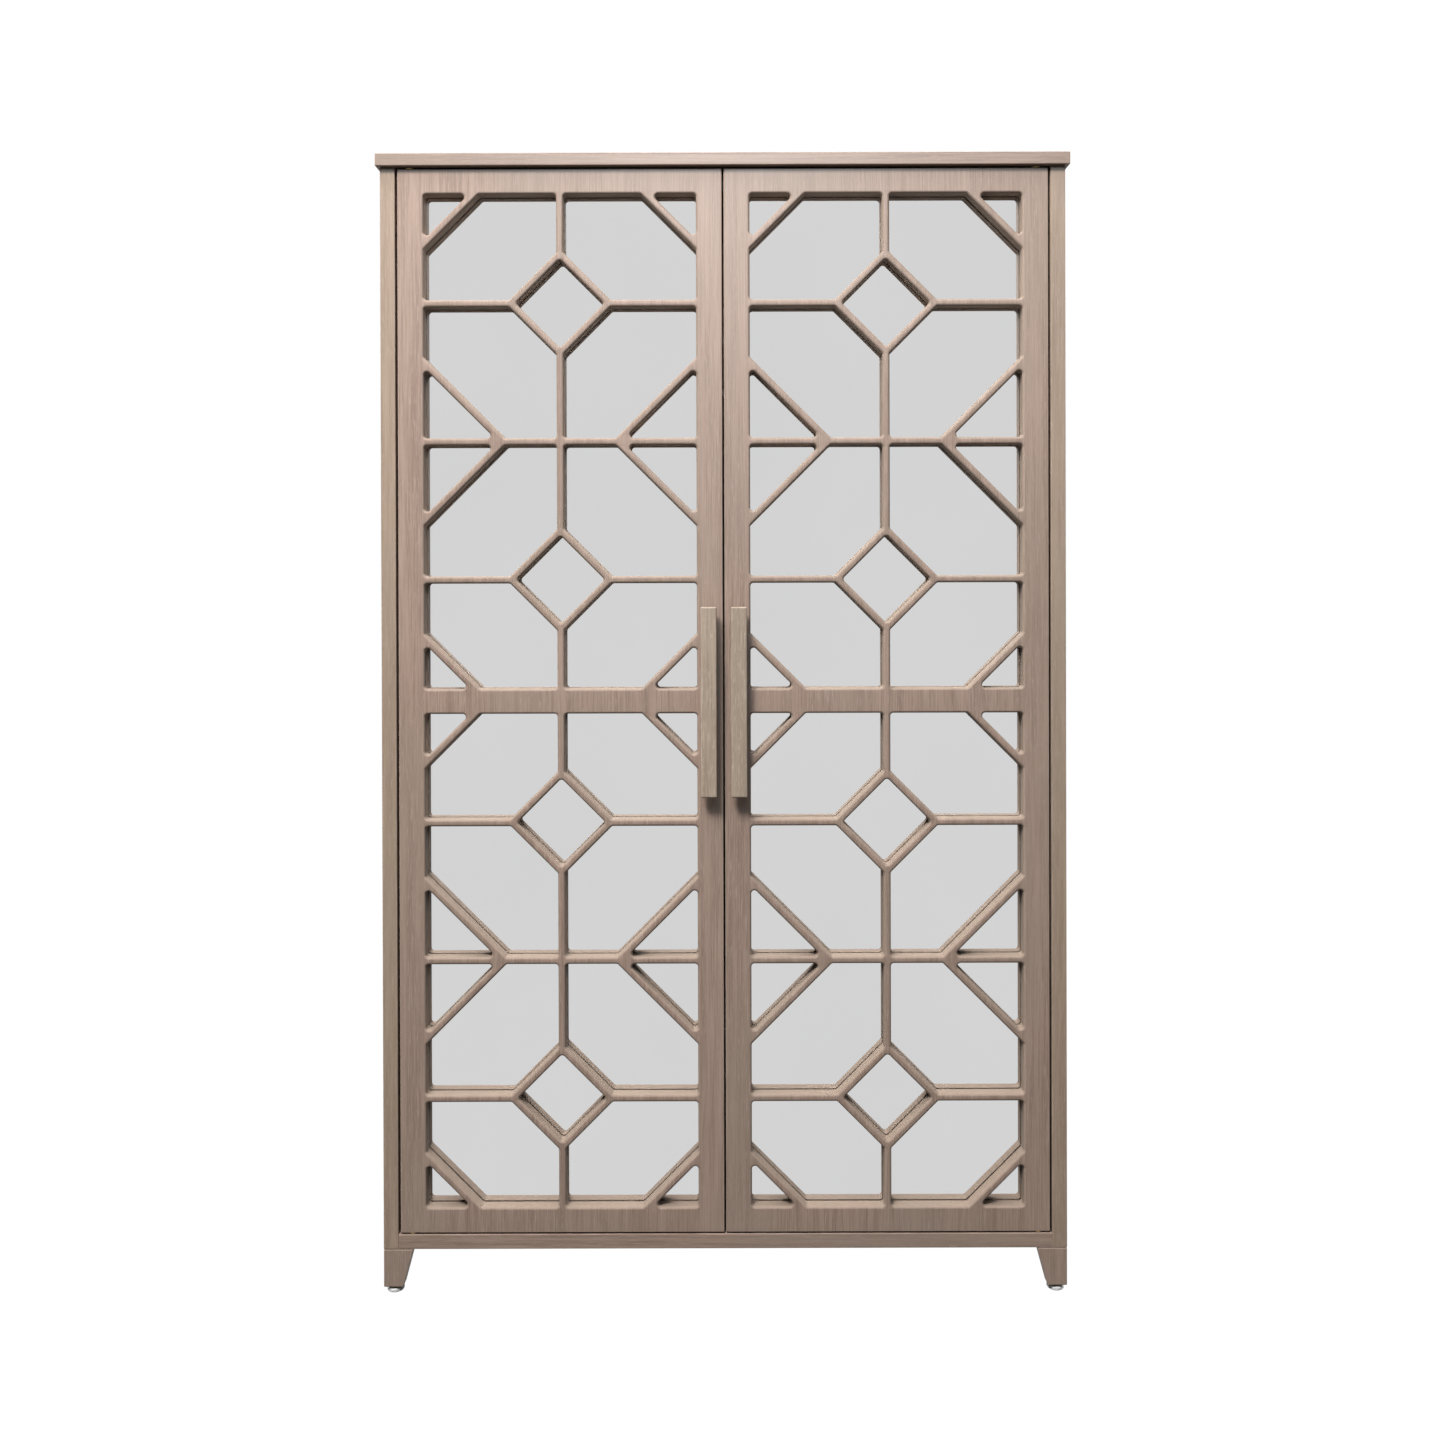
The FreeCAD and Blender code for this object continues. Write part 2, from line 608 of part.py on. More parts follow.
def make_door_frame(name, sign):
    """Stiles and rails of the fretwork; the hinge stile is bored for the pivots, the other for the handle."""
    hinge_stile = board(("stile_width", "fretwork_depth", "door_height"),
                        (off_centre(sign, "hinge_stile_edge", "stile_width"), "front", "door_bottom"))
    keep(f"door_{name}_hinge_stile", trim(hinge_stile, [
        rod("z", "pivot_radius + fit_play", "pivot_in_door", (f"{sign} * pivot_x", "pivot_y", z))
        for z in ("door_bottom", "door_top - pivot_in_door")]))
    meeting_stile = board(("stile_width", "fretwork_depth", "door_height"),
                          (off_centre(sign, "meeting_edge", "stile_width"), "front", "door_bottom"))
    keep(f"door_{name}_meeting_stile", trim(meeting_stile, handle_holes(sign, "front", "fretwork_depth")))
    for place_name, low_z in (("bottom", "door_bottom"), ("middle", "door_middle - door_rail_height / 2"),
                              ("top", "door_top - door_rail_height")):
        keep(f"door_{name}_{place_name}_rail", board(
            ("opening_width", "fretwork_depth", "door_rail_height"),
            (off_centre(sign, "opening_edge", "opening_width"), "front", low_z)))


def handle_heights():
    """Z of the two posts and bolts of a handle."""
    return [f"door_middle + {turn} * handle_post_offset" for turn in (-1, 1)]


def handle_holes(sign, start, depth):
    """Clearance holes for the two handle bolts."""
    return [rod("y", "handle_bolt_radius + fit_play", depth, (f"{sign} * handle_x", start, z))
            for z in handle_heights()]


def make_door_back(name, sign):
    """Mirror, backing board and the frame of strips that surrounds them."""
    clear = "2 * (back_strip_width + glass_play)"
    inset = "back_strip_width + glass_play"
    for piece, start, depth in (("mirror", "back_of_fretwork", "mirror_thickness"),
                                ("backing", "back_of_mirror", "backing_thickness")):
        keep(f"door_{name}_{piece}", board(
            (f"door_width - {clear}", depth, f"door_height - {clear}"),
            (off_centre(sign, f"meeting_edge + {inset}", f"door_width - {clear}"), start,
             f"door_bottom + {inset}")))
    deep = "door_back - back_of_fretwork"
    upright = ("back_strip_width", deep, "door_height")
    level = ("door_width - 2 * back_strip_width", deep, "back_strip_width")
    strips = [
        block(upright, (off_centre(sign, "meeting_edge + door_width - back_strip_width", "back_strip_width"),
                        "back_of_fretwork", "door_bottom")),
        trim(block(upright, (off_centre(sign, "meeting_edge", "back_strip_width"),
                             "back_of_fretwork", "door_bottom")),
             handle_holes(sign, "back_of_fretwork", deep)),
    ]
    strips += [block(level, (off_centre(sign, "meeting_edge + back_strip_width", level[0]),
                             "back_of_fretwork", z)) for z in ("door_bottom", "door_top - back_strip_width")]
    keep(f"door_{name}_back_frame", bundle(strips))


def make_handle(name, sign):
    """Wooden bar handle on two posts, held by bolts from the back of the door."""
    bar = board(("handle_width", "handle_thickness", "handle_length"),
                (f"{sign} * handle_x - handle_width / 2", "front - handle_reach",
                 "door_middle - handle_length / 2"), "handle_arris")
    bite = "handle_bolt_bite"
    keep(f"door_{name}_handle", trim(bar, handle_holes(sign, f"front - handle_gap - {bite}", bite)))
    posts = [rod("y", "handle_post_radius", "handle_gap", (f"{sign} * handle_x", "front - handle_gap", z))
             for z in handle_heights()]
    keep(f"door_{name}_handle_posts", bundle([
        trim(post, [hole]) for post, hole in
        zip(posts, handle_holes(sign, "front - handle_gap", "handle_gap"))]))
    shank_start = f"front - handle_gap - {bite}"
    shank = f"door_back - front + handle_gap + {bite}"
    keep(f"door_{name}_handle_bolts", bundle([join([
        rod("y", "handle_bolt_radius", shank, (f"{sign} * handle_x", shank_start, z)),
        rod("y", "handle_bolt_head", "handle_bolt_head_depth", (f"{sign} * handle_x", "door_back", z)),
    ]) for z in handle_heights()]))


def make_door_fittings(name, sign):
    """Pivot pins at the top and the bottom, and the steel strike of the magnetic catch."""
    long = "pivot_in_door + door_gap + pivot_in_bush"
    keep(f"door_{name}_pivot_pins", bundle([
        rod("z", "pivot_radius", long, (f"{sign} * pivot_x", "pivot_y", z))
        for z in ("door_bottom - door_gap - pivot_in_bush", "door_top - pivot_in_door")]))
    keep(f"door_{name}_strike", block(
        ("strike_width", "strike_thickness", "strike_height"),
        (off_centre(sign, "catch_x - strike_width / 2", "strike_width"), "door_back",
         "catch_middle - strike_height / 2")))


def make_doors():
    """Both doors, each from its own set of pieces."""
    for name, sign in SIDES.items():
        make_door_frame(name, sign)
        make_lattice(name, sign)
        make_door_back(name, sign)
        make_handle(name, sign)
        make_door_fittings(name, sign)


def check_shapes():
    """Stop on a failed object, a bad shape or a cut that removed nothing."""
    faults = [item.Label for item in doc.Objects if {"Invalid", "Error"} & set(item.State)]
    for label, thing in nodes.items():
        if thing.Shape.isNull() or not thing.Shape.isValid() or not thing.Shape.Solids:
            faults.append(label)
    for result in trimmed:
        if result.Base.Shape.Volume - result.Shape.Volume < 1:
            faults.append(result.Label)
    if faults:
        raise RuntimeError("failed: " + ", ".join(faults))


def main():
    """Build every piece, check it and write it out."""
    fill_sheet()
    make_top()
    make_sides()
    make_floor()
    make_back()
    make_shelves()
    make_hanging_rod()
    make_feet()
    make_dowels()
    make_bushes()
    make_stop()
    make_doors()
    doc.recompute()
    check_shapes()
    os.makedirs("parts", exist_ok=True)
    for label, thing in nodes.items():
        thing.Shape.exportStep(f"parts/{label}.step")
    print(len(nodes), "nodes written")


main()
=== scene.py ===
"""Looks of a two-door armoire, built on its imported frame.

The doors are one-piece fretwork panels over mirrors, with wooden bar handles. The case stands on
bracket feet with screw-in glides, and holds two shelves and a hanging rod. Sizes are in metres.
"""

from __future__ import annotations

import logging
import math
from collections.abc import Iterator, Sequence
from dataclasses import dataclass
from enum import Enum
from functools import cache

import bmesh
import bpy
from mathutils import Matrix, Vector

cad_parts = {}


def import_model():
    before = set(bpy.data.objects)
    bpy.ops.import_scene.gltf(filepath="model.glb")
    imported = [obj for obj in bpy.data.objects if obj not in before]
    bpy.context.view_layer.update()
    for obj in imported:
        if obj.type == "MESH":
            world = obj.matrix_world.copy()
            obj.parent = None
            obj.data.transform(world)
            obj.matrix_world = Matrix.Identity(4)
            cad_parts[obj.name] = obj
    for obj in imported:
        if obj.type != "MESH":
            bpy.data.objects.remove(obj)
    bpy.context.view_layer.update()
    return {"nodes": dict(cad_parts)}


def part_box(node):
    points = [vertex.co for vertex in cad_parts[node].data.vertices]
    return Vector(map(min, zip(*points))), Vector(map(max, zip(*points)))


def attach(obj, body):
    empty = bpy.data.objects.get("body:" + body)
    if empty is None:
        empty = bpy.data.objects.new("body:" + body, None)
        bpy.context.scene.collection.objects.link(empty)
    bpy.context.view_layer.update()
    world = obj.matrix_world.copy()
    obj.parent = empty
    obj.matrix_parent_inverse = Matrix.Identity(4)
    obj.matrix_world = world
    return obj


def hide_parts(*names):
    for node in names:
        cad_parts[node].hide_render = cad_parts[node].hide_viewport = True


LOG = logging.getLogger("armoire")
ARRIS_LAYER = "arris"
ROUTED_LAYER = "routed"
SHARP_TURN = math.radians(35)
CORNER_STEP = math.radians(13)
QUARTER_TURN = [math.radians(22.5 * k) for k in range(5)]
SAME_SPOT = 0.000001
WELD_REACH = 0.00001
UP = Vector((0, 0, 1))
WHITE = (1.0, 1.0, 1.0, 1.0)

Triple = tuple[float, float, float]
Pair = tuple[float, float]


class Axis(Enum):
    """A direction of the frame."""

    X = 0
    Y = 1
    Z = 2


class Figure(Enum):
    """A figure in wood: its bumps per metre across and along the grain."""

    SWAY = (7.0, 1.1)
    RINGS = (80.0, 2.4)
    STREAKS = (360.0, 8.0)
    FIBRES = (1250.0, 24.0)
    PORES = (820.0, 34.0)
    PATCHES = (5.5, 1.7)
    FLECKS = (290.0, 74.0)
    # Breaks up the lighter edges, which are partly wear and partly painted highlight.
    WEAR = (60.0, 18.0)


class Side(Enum):
    """The left or the right of the armoire, as seen from its front."""

    LEFT = "left"
    RIGHT = "right"

    @property
    def sign(self) -> int:
        """The sign of x on this side."""
        return -1 if self is Side.LEFT else 1


# Shader nodes.


class Value:
    """A node's output that ordinary arithmetic can be written on."""

    def __init__(self, kit: ShaderKit, socket: bpy.types.NodeSocket | None) -> None:
        self.kit = kit
        self.socket = socket

    def maths(self, operation: str, first: Value | float, second: Value | float) -> Value:
        """A Math node on two values."""
        return self.kit.node("ShaderNodeMath", {"operation": operation}, {0: first, 1: second})

    def __add__(self, other: Value | float) -> Value:
        """self + other."""
        return self.maths("ADD", self, other)

    def __radd__(self, other: Value | float) -> Value:
        """other + self."""
        return self.maths("ADD", other, self)

    def __sub__(self, other: Value | float) -> Value:
        """self - other."""
        return self.maths("SUBTRACT", self, other)

    def __rsub__(self, other: Value | float) -> Value:
        """other - self."""
        return self.maths("SUBTRACT", other, self)

    def __mul__(self, other: Value | float) -> Value:
        """self * other."""
        return self.maths("MULTIPLY", self, other)

    def __rmul__(self, other: Value | float) -> Value:
        """other * self."""
        return self.maths("MULTIPLY", other, self)

    def least(self, other: Value | float) -> Value:
        """The smaller of two values."""
        return self.maths("MINIMUM", self, other)

    def most(self, other: Value | float) -> Value:
        """The larger of two values."""
        return self.maths("MAXIMUM", self, other)

    def other(self, output: int | str) -> Value:
        """Another output of the same node."""
        return Value(self.kit, self.socket.node.outputs[output])

    def rise(self, start: float, end: float) -> Value:
        """A smooth step.

        Args:
            start: The value up to which it is 0.
            end: The value from which it is 1.

        Returns:
            The step.
        """
        settings = {"interpolation_type": "SMOOTHSTEP"}
        sockets = {"Value": self, "From Min": start, "From Max": end}
        return self.kit.node("ShaderNodeMapRange", settings, sockets)


class ShaderKit:
    """Makes the nodes of one material or world."""

    def __init__(self, tree: bpy.types.NodeTree) -> None:
        """Starts from an empty tree."""
        self.tree = tree
        self.tree.nodes.clear()

    def node(self, kind: str, settings: dict, sockets: dict, output: int | str = 0) -> Value:
        """Adds a node.

        Args:
            kind: The node's type.
            settings: The node's own settings, such as a Math node's operation.
            sockets: Values or links of its inputs, by name or number.
            output: Which output to return.

        Returns:
            The chosen output. It is empty for a node that ends a tree.
        """
        made = self.tree.nodes.new(kind)
        for name, setting in settings.items():
            setattr(made, name, setting)
        for key, value in sockets.items():
            if isinstance(value, Value):
                self.tree.links.new(value.socket, made.inputs[key])
            else:
                made.inputs[key].default_value = value
        return Value(self, made.outputs[output] if len(made.outputs) else None)

    def place(self) -> Value:
        """The place on the piece, in metres."""
        return self.node("ShaderNodeTexCoord", {}, {}, "Object")

    def scaled(self, place: Value, scale: Triple, shift: Triple) -> Value:
        """A place stretched by scale and then moved by shift."""
        sockets = {0: place, 1: scale, 2: shift}
        return self.node("ShaderNodeVectorMath", {"operation": "MULTIPLY_ADD"}, sockets)

    def noise(self, place: Value, detail: float = 2.0, roughness: float = 0.5) -> Value:
        """Smooth noise of about one bump per unit of place."""
        sockets = {"Vector": place, "Scale": 1.0, "Detail": detail, "Roughness": roughness}
        return self.node("ShaderNodeTexNoise", {}, sockets)

    def mix(self, share: Value | float, first: Value | Triple, second: Value | Triple) -> Value:
        """Two colours mixed.

        Args:
            share: How much of the second colour shows.
            first: The colour below.
            second: The colour on top.

        Returns:
            The mixed colour.
        """
        colours = [c if isinstance(c, Value) else (*c, 1.0) for c in (first, second)]
        sockets = {0: share, 6: colours[0], 7: colours[1]}
        return self.node("ShaderNodeMix", {"data_type": "RGBA"}, sockets, 2)

    def split(self, vector: Value) -> list[Value]:
        """The three parts of a vector."""
        first = self.node("ShaderNodeSeparateXYZ", {}, {0: vector})
        return [first.other(k) for k in range(3)]

    def surface(self, colour: Value, roughness: Value, height: Value, relief: float,
                fixed: dict | None = None) -> None:
        """Ends the tree with a Principled surface.

        Args:
            colour: Base colour.
            roughness: Roughness.
            height: Height of the relief, from 0 to 1.
            relief: Depth of the relief in metres.
            fixed: Plain values for other sockets of the surface.
        """
        bump = self.node("ShaderNodeBump", {}, {"Strength": 1.0, "Distance": relief, "Height": height})
        sockets = {"Base Color": colour, "Roughness": roughness, "Normal": bump, **(fixed or {})}
        shader = self.node("ShaderNodeBsdfPrincipled", {}, sockets)
        self.node("ShaderNodeOutputMaterial", {}, {0: shader})


# Finishes.


@dataclass(frozen=True)
class Finish:
    """A finish with a name, which makes its own material once."""

    name: str

    @cache
    def material(self) -> bpy.types.Material:
        """Makes the finish's material when it is first asked for.

        Returns:
            The material.
        """
        made = bpy.data.materials.new(f"{self.name}_finish")
        made.use_nodes = True
        self.build(ShaderKit(made.node_tree))
        return made

    def build(self, kit: ShaderKit) -> None:
        """Makes the finish's nodes."""
        raise NotImplementedError


@dataclass(frozen=True)
class WoodTone:
    """Colours and relief of a kind of wood.

    Attributes:
        pale: The lighter part of the grain.
        deep: The darker part of the grain.
        cast: The cooler patches that lie over the grain.
        pore: What fills the pores.
        pore_share: How strongly the pores show.
        pale_wear_and_highlight: The pale colour of the flecks and of the edges; on the edges it is partly
            rubbed wear and partly a painted highlight.
        sheen: Middle roughness of the lacquer.
        relief: Depth of the grain in metres.
        fleck_share: How strongly the short pale flecks show.
    """

    pale: Triple
    deep: Triple
    cast: Triple
    pore: Triple
    pore_share: float
    pale_wear_and_highlight: Triple
    sheen: float
    relief: float
    fleck_share: float = 0.2


LIMED_OAK = WoodTone(
    pale=(0.346, 0.249, 0.198), deep=(0.213, 0.145, 0.110), cast=(0.266, 0.206, 0.160),
    pore=(0.43, 0.33, 0.28), pore_share=0.5, pale_wear_and_highlight=(0.40, 0.29, 0.24), sheen=0.48, relief=0.00009,
)
TOP_OAK = WoodTone(
    pale=(0.292, 0.212, 0.169), deep=(0.186, 0.128, 0.098), cast=(0.228, 0.178, 0.139),
    pore=(0.38, 0.29, 0.24), pore_share=0.5, pale_wear_and_highlight=(0.36, 0.26, 0.21), sheen=0.45, relief=0.00008,
)
SIDE_OAK = WoodTone(
    pale=(0.335, 0.250, 0.185), deep=(0.240, 0.172, 0.124), cast=(0.285, 0.222, 0.165),
    pore=(0.43, 0.34, 0.28), pore_share=0.5, pale_wear_and_highlight=(0.40, 0.31, 0.25), sheen=0.45, relief=0.0001,
)
HANDLE_OAK = WoodTone(
    pale=(0.382, 0.299, 0.228), deep=(0.220, 0.167, 0.123), cast=(0.303, 0.242, 0.183),
    pore=(0.50, 0.42, 0.34), pore_share=0.7, pale_wear_and_highlight=(0.48, 0.39, 0.31), sheen=0.47, relief=0.00018,
    fleck_share=0.38,
)
INSIDE_VENEER = WoodTone(
    pale=(0.400, 0.310, 0.250), deep=(0.275, 0.205, 0.160), cast=(0.325, 0.270, 0.215),
    pore=(0.180, 0.130, 0.100), pore_share=0.4, pale_wear_and_highlight=(0.46, 0.37, 0.30), sheen=0.55, relief=0.00015,
)
BACK_PLY = WoodTone(
    pale=(0.410, 0.310, 0.215), deep=(0.300, 0.215, 0.145), cast=(0.370, 0.285, 0.195),
    pore=(0.200, 0.140, 0.095), pore_share=0.3, pale_wear_and_highlight=(0.48, 0.38, 0.27), sheen=0.66, relief=0.0002,
)
BEECH = WoodTone(
    pale=(0.590, 0.420, 0.270), deep=(0.470, 0.315, 0.190), cast=(0.520, 0.380, 0.250),
    pore=(0.320, 0.200, 0.120), pore_share=0.5, pale_wear_and_highlight=(0.62, 0.47, 0.32), sheen=0.62, relief=0.0001,
)


@dataclass(frozen=True)
class Wood(Finish):
    """Straight-grained wood under a matt lacquer.

    Attributes:
        tone: Colours and relief of the wood.
        grain: The direction of the grain.
        seed: Moves the figure, so that no two pieces show the same one.
        low: Lowest corner of the piece, for its lighter edges, which are partly wear and partly painted
            highlight.
        high: Highest corner of the piece.
        shaped: Whether the piece's mesh marks its own arrises as well.
    """

    tone: WoodTone
    grain: Axis
    seed: float
    low: Triple
    high: Triple
    shaped: bool = False

    @property
    def upright(self) -> bool:
        """Whether the piece is a panel or bar that lies flat towards the front."""
        x, y, z = (b - a for a, b in zip(self.low, self.high))
        return y < min(x, z)

    def along(self, kit: ShaderKit, place: Value, figure: Figure) -> Value:
        """The place scaled so that noise on it runs long with the grain.

        Args:
            kit: Maker of the nodes.
            place: Place on the piece.
            figure: The figure that the noise is for.

        Returns:
            The scaled place.
        """
        across, along = figure.value
        scale = [across] * 3
        if self.upright:
            scale[Axis.Y.value] = across * 0.2
        scale[self.grain.value] = along
        return kit.scaled(place, tuple(scale), (self.seed, self.seed * 0.7, self.seed * 1.3))

    def rubbed_and_highlit_edges(self, kit: ShaderKit, place: Value) -> Value:
        """1 on the edges of the piece, and 0 a few millimetres away from them. The edges get a lighter
        colour, partly rubbed wear and partly painted highlight.

        Args:
            kit: Maker of the nodes.
            place: Place on the piece.

        Returns:
            The mask.
        """
        middle = tuple((a + b) / 2 for a, b in zip(self.low, self.high))
        half = tuple((b - a) / 2 for a, b in zip(self.low, self.high))
        away = kit.node("ShaderNodeVectorMath", {"operation": "SUBTRACT"}, {0: place, 1: middle})
        away = kit.node("ShaderNodeVectorMath", {"operation": "ABSOLUTE"}, {0: away})
        left = kit.node("ShaderNodeVectorMath", {"operation": "SUBTRACT"}, {0: half, 1: away})
        x, y, z = kit.split(left)
        second_nearest = x.least(y).most(x.most(y).least(z))
        mask = 1.0 - second_nearest.rise(0.0003, 0.0032)
        if self.shaped:
            # The fretwork's marked arrises are painted lighter as a highlight as well as wear.
            marked = kit.node("ShaderNodeAttribute", {"attribute_name": ARRIS_LAYER}, {}, "Fac")
            mask = mask.most(marked * 0.8)
        return mask

    def routed(self, kit: ShaderKit) -> Value | float:
        """1 where the piece was cut by a router, which leaves a duller surface.

        Args:
            kit: Maker of the nodes.

        Returns:
            The mask, or 0 for a piece that has no routed openings.
        """
        if self.shaped:
            return kit.node("ShaderNodeAttribute", {"attribute_name": ROUTED_LAYER}, {}, "Fac")
        return 0.0

    def build(self, kit: ShaderKit) -> None:
        """Makes the wood: grain, pores, patches, lighter edges that are partly rubbed wear and partly
        painted highlight, sheen and relief.

        Args:
            kit: Maker of the nodes.
        """
        tone = self.tone
        place = kit.place()
        sway = kit.noise(self.along(kit, place, Figure.SWAY), 1.0)
        shift = kit.node("ShaderNodeCombineXYZ", {}, {0: sway * 0.02, 1: sway * 0.02, 2: sway * 0.02})
        swayed = kit.node("ShaderNodeVectorMath", {"operation": "ADD"}, {0: place, 1: shift})
        rings = kit.noise(self.along(kit, swayed, Figure.RINGS), 3.0, 0.6)
        streaks = kit.noise(self.along(kit, swayed, Figure.STREAKS), 4.0, 0.62)
        fibres = kit.noise(self.along(kit, swayed, Figure.FIBRES), 2.0, 0.6)
        pores = kit.noise(self.along(kit, swayed, Figure.PORES), 1.0).rise(0.58, 0.70)
        patches = kit.noise(self.along(kit, place, Figure.PATCHES), 2.0).rise(0.42, 0.66)
        flecks = kit.noise(self.along(kit, swayed, Figure.FLECKS), 2.0).rise(0.54, 0.72)
        share = (rings * 0.42 + streaks * 0.58).rise(0.34, 0.66)
        colour = kit.mix(share, tone.deep, tone.pale)
        colour = kit.mix(patches * 0.5, colour, tone.cast)
        colour = kit.mix(fibres.rise(0.40, 0.75) * 0.22, colour, tone.deep)
        open_grain = 1.0 - rings.rise(0.38, 0.62)
        colour = kit.mix(pores * (open_grain * 0.6 + 0.4) * tone.pore_share, colour, tone.pore)
        colour = kit.mix(flecks * tone.fleck_share, colour, tone.pale_wear_and_highlight)
        edge = self.rubbed_and_highlit_edges(kit, place)
        routed = self.routed(kit)
        # Edges are painted lighter: partly rubbed wear, partly a painted highlight on the arrises.
        pale_wear_and_highlight = edge * kit.noise(self.along(kit, place, Figure.WEAR), 2.0).rise(0.3, 0.75)
        colour = kit.mix(pale_wear_and_highlight * 0.55, colour, tone.pale_wear_and_highlight)
        colour = kit.mix(routed * 0.8, colour, tone.cast)
        roughness = tone.sheen + 0.10 * streaks + 0.08 * pores + (0.30 * edge).most(routed * 0.42)
        ridges = kit.noise(self.along(kit, swayed, Figure.STREAKS), 0.0)
        height = (0.8 * ridges - 0.12 * pores + 0.2) * (1.0 - (0.85 * edge).most(routed))
        kit.surface(colour, roughness, height, tone.relief, {"Specular IOR Level": 0.5})


@dataclass(frozen=True)
class MirrorGlass(Finish):
    """Silvered glass, very slightly dusty.

    Attributes:
        silver: Colour where it is clean.
        hazed: Colour where it is hazed.
        relief: Depth of the polishing marks in metres.
    """

    silver: Triple = (0.875, 0.875, 0.875)
    hazed: Triple = (0.845, 0.846, 0.848)
    relief: float = 0.000001

    def build(self, kit: ShaderKit) -> None:
        """Makes the silver, with faint haze and a trace of polishing.

        Args:
            kit: Maker of the nodes.
        """
        place = kit.place()
        haze = kit.noise(kit.scaled(place, (3.1, 3.1, 2.3), (4.0, 1.0, 2.0)), 3.0).rise(0.35, 0.75)
        wiped = kit.noise(kit.scaled(place, (60.0, 60.0, 9.0), (1.0, 3.0, 7.0)), 2.0)
        colour = kit.mix(haze * 0.6, self.silver, self.hazed)
        roughness = 0.012 + 0.014 * haze + 0.006 * wiped
        kit.surface(colour, roughness, wiped, self.relief, {"Metallic": 1.0})


@dataclass(frozen=True)
class Metal(Finish):
    """A metal with a drawn or turned surface.

    Attributes:
        bright: Colour where it is clean.
        dull: Colour where it is tarnished or thin.
        gloss: Middle roughness.
        drawn: Direction of the fine drawing lines.
        relief: Depth of the lines in metres.
    """

    bright: Triple = (0.62, 0.62, 0.60)
    dull: Triple = (0.42, 0.42, 0.41)
    gloss: float = 0.3
    drawn: Axis = Axis.X
    relief: float = 0.00002

    def build(self, kit: ShaderKit) -> None:
        """Makes drawing lines, blotches of the plating and small scratches.

        Args:
            kit: Maker of the nodes.
        """
        place = kit.place()
        scale = [2600.0] * 3
        scale[self.drawn.value] = 40.0
        lines = kit.noise(kit.scaled(place, tuple(scale), (0.0, 2.0, 5.0)), 2.0)
        blotches = kit.noise(kit.scaled(place, (240.0, 240.0, 240.0), (3.0, 0.0, 1.0)), 3.0).rise(0.4, 0.7)
        nicks = kit.noise(kit.scaled(place, (900.0, 160.0, 900.0), (0.0, 4.0, 2.0)), 1.0).rise(0.68, 0.76)
        colour = kit.mix(blotches * 0.6, self.bright, self.dull)
        colour = kit.mix(nicks * 0.4, colour, self.dull)
        roughness = self.gloss + 0.12 * lines + 0.12 * blotches + 0.1 * nicks - 0.05
        kit.surface(colour, roughness, lines * 0.7 - nicks * 0.6 + 0.3, self.relief, {"Metallic": 1.0})


@dataclass(frozen=True)
class Moulded(Finish):
    """A moulded plastic with a fine spark-eroded texture.

    Attributes:
        body: Main colour.
        scuffed: Colour of scuffs.
        gloss: Middle roughness.
        relief: Depth of the texture in metres.
    """

    body: Triple = (0.60, 0.60, 0.58)
    scuffed: Triple = (0.45, 0.45, 0.43)
    gloss: float = 0.45
    relief: float = 0.00004

    def build(self, kit: ShaderKit) -> None:
        """Makes the texture of the mould, scuffs and a slight mottle.

        Args:
            kit: Maker of the nodes.
        """
        place = kit.place()
        texture = kit.noise(kit.scaled(place, (2200.0, 2200.0, 2200.0), (1.0, 2.0, 3.0)), 2.0)
        mottle = kit.noise(kit.scaled(place, (95.0, 95.0, 95.0), (5.0, 1.0, 0.0)), 2.0)
        scuffs = kit.noise(kit.scaled(place, (420.0, 420.0, 60.0), (2.0, 8.0, 1.0)), 3.0).rise(0.6, 0.74)
        colour = kit.mix(scuffs * 0.6, self.body, self.scuffed)
        colour = kit.mix(mottle.rise(0.3, 0.7) * 0.15, colour, self.scuffed)
        roughness = self.gloss + 0.1 * texture + 0.14 * scuffs
        kit.surface(colour, roughness, texture * 0.8 - scuffs * 0.4 + 0.3, self.relief,
                    {"Subsurface Weight": 0.05, "Subsurface Radius": (0.002, 0.002, 0.002)})


MIRROR = MirrorGlass("mirror_glass")
CHROME = Metal("rod_chrome", (0.72, 0.73, 0.74), (0.60, 0.61, 0.62), 0.12, Axis.X, 0.000004)
ZINC = Metal("zinc_steel", (0.60, 0.61, 0.62), (0.44, 0.45, 0.47), 0.32, Axis.Z)
BRASS = Metal("bush_brass", (0.72, 0.53, 0.24), (0.50, 0.35, 0.15), 0.28, Axis.Z)
NYLON = Moulded("nylon", (0.80, 0.80, 0.785), (0.66, 0.66, 0.645), 0.5)
CATCH_PLASTIC = Moulded("catch_plastic", (0.115, 0.085, 0.062), (0.17, 0.135, 0.105), 0.42)


# Meshes.


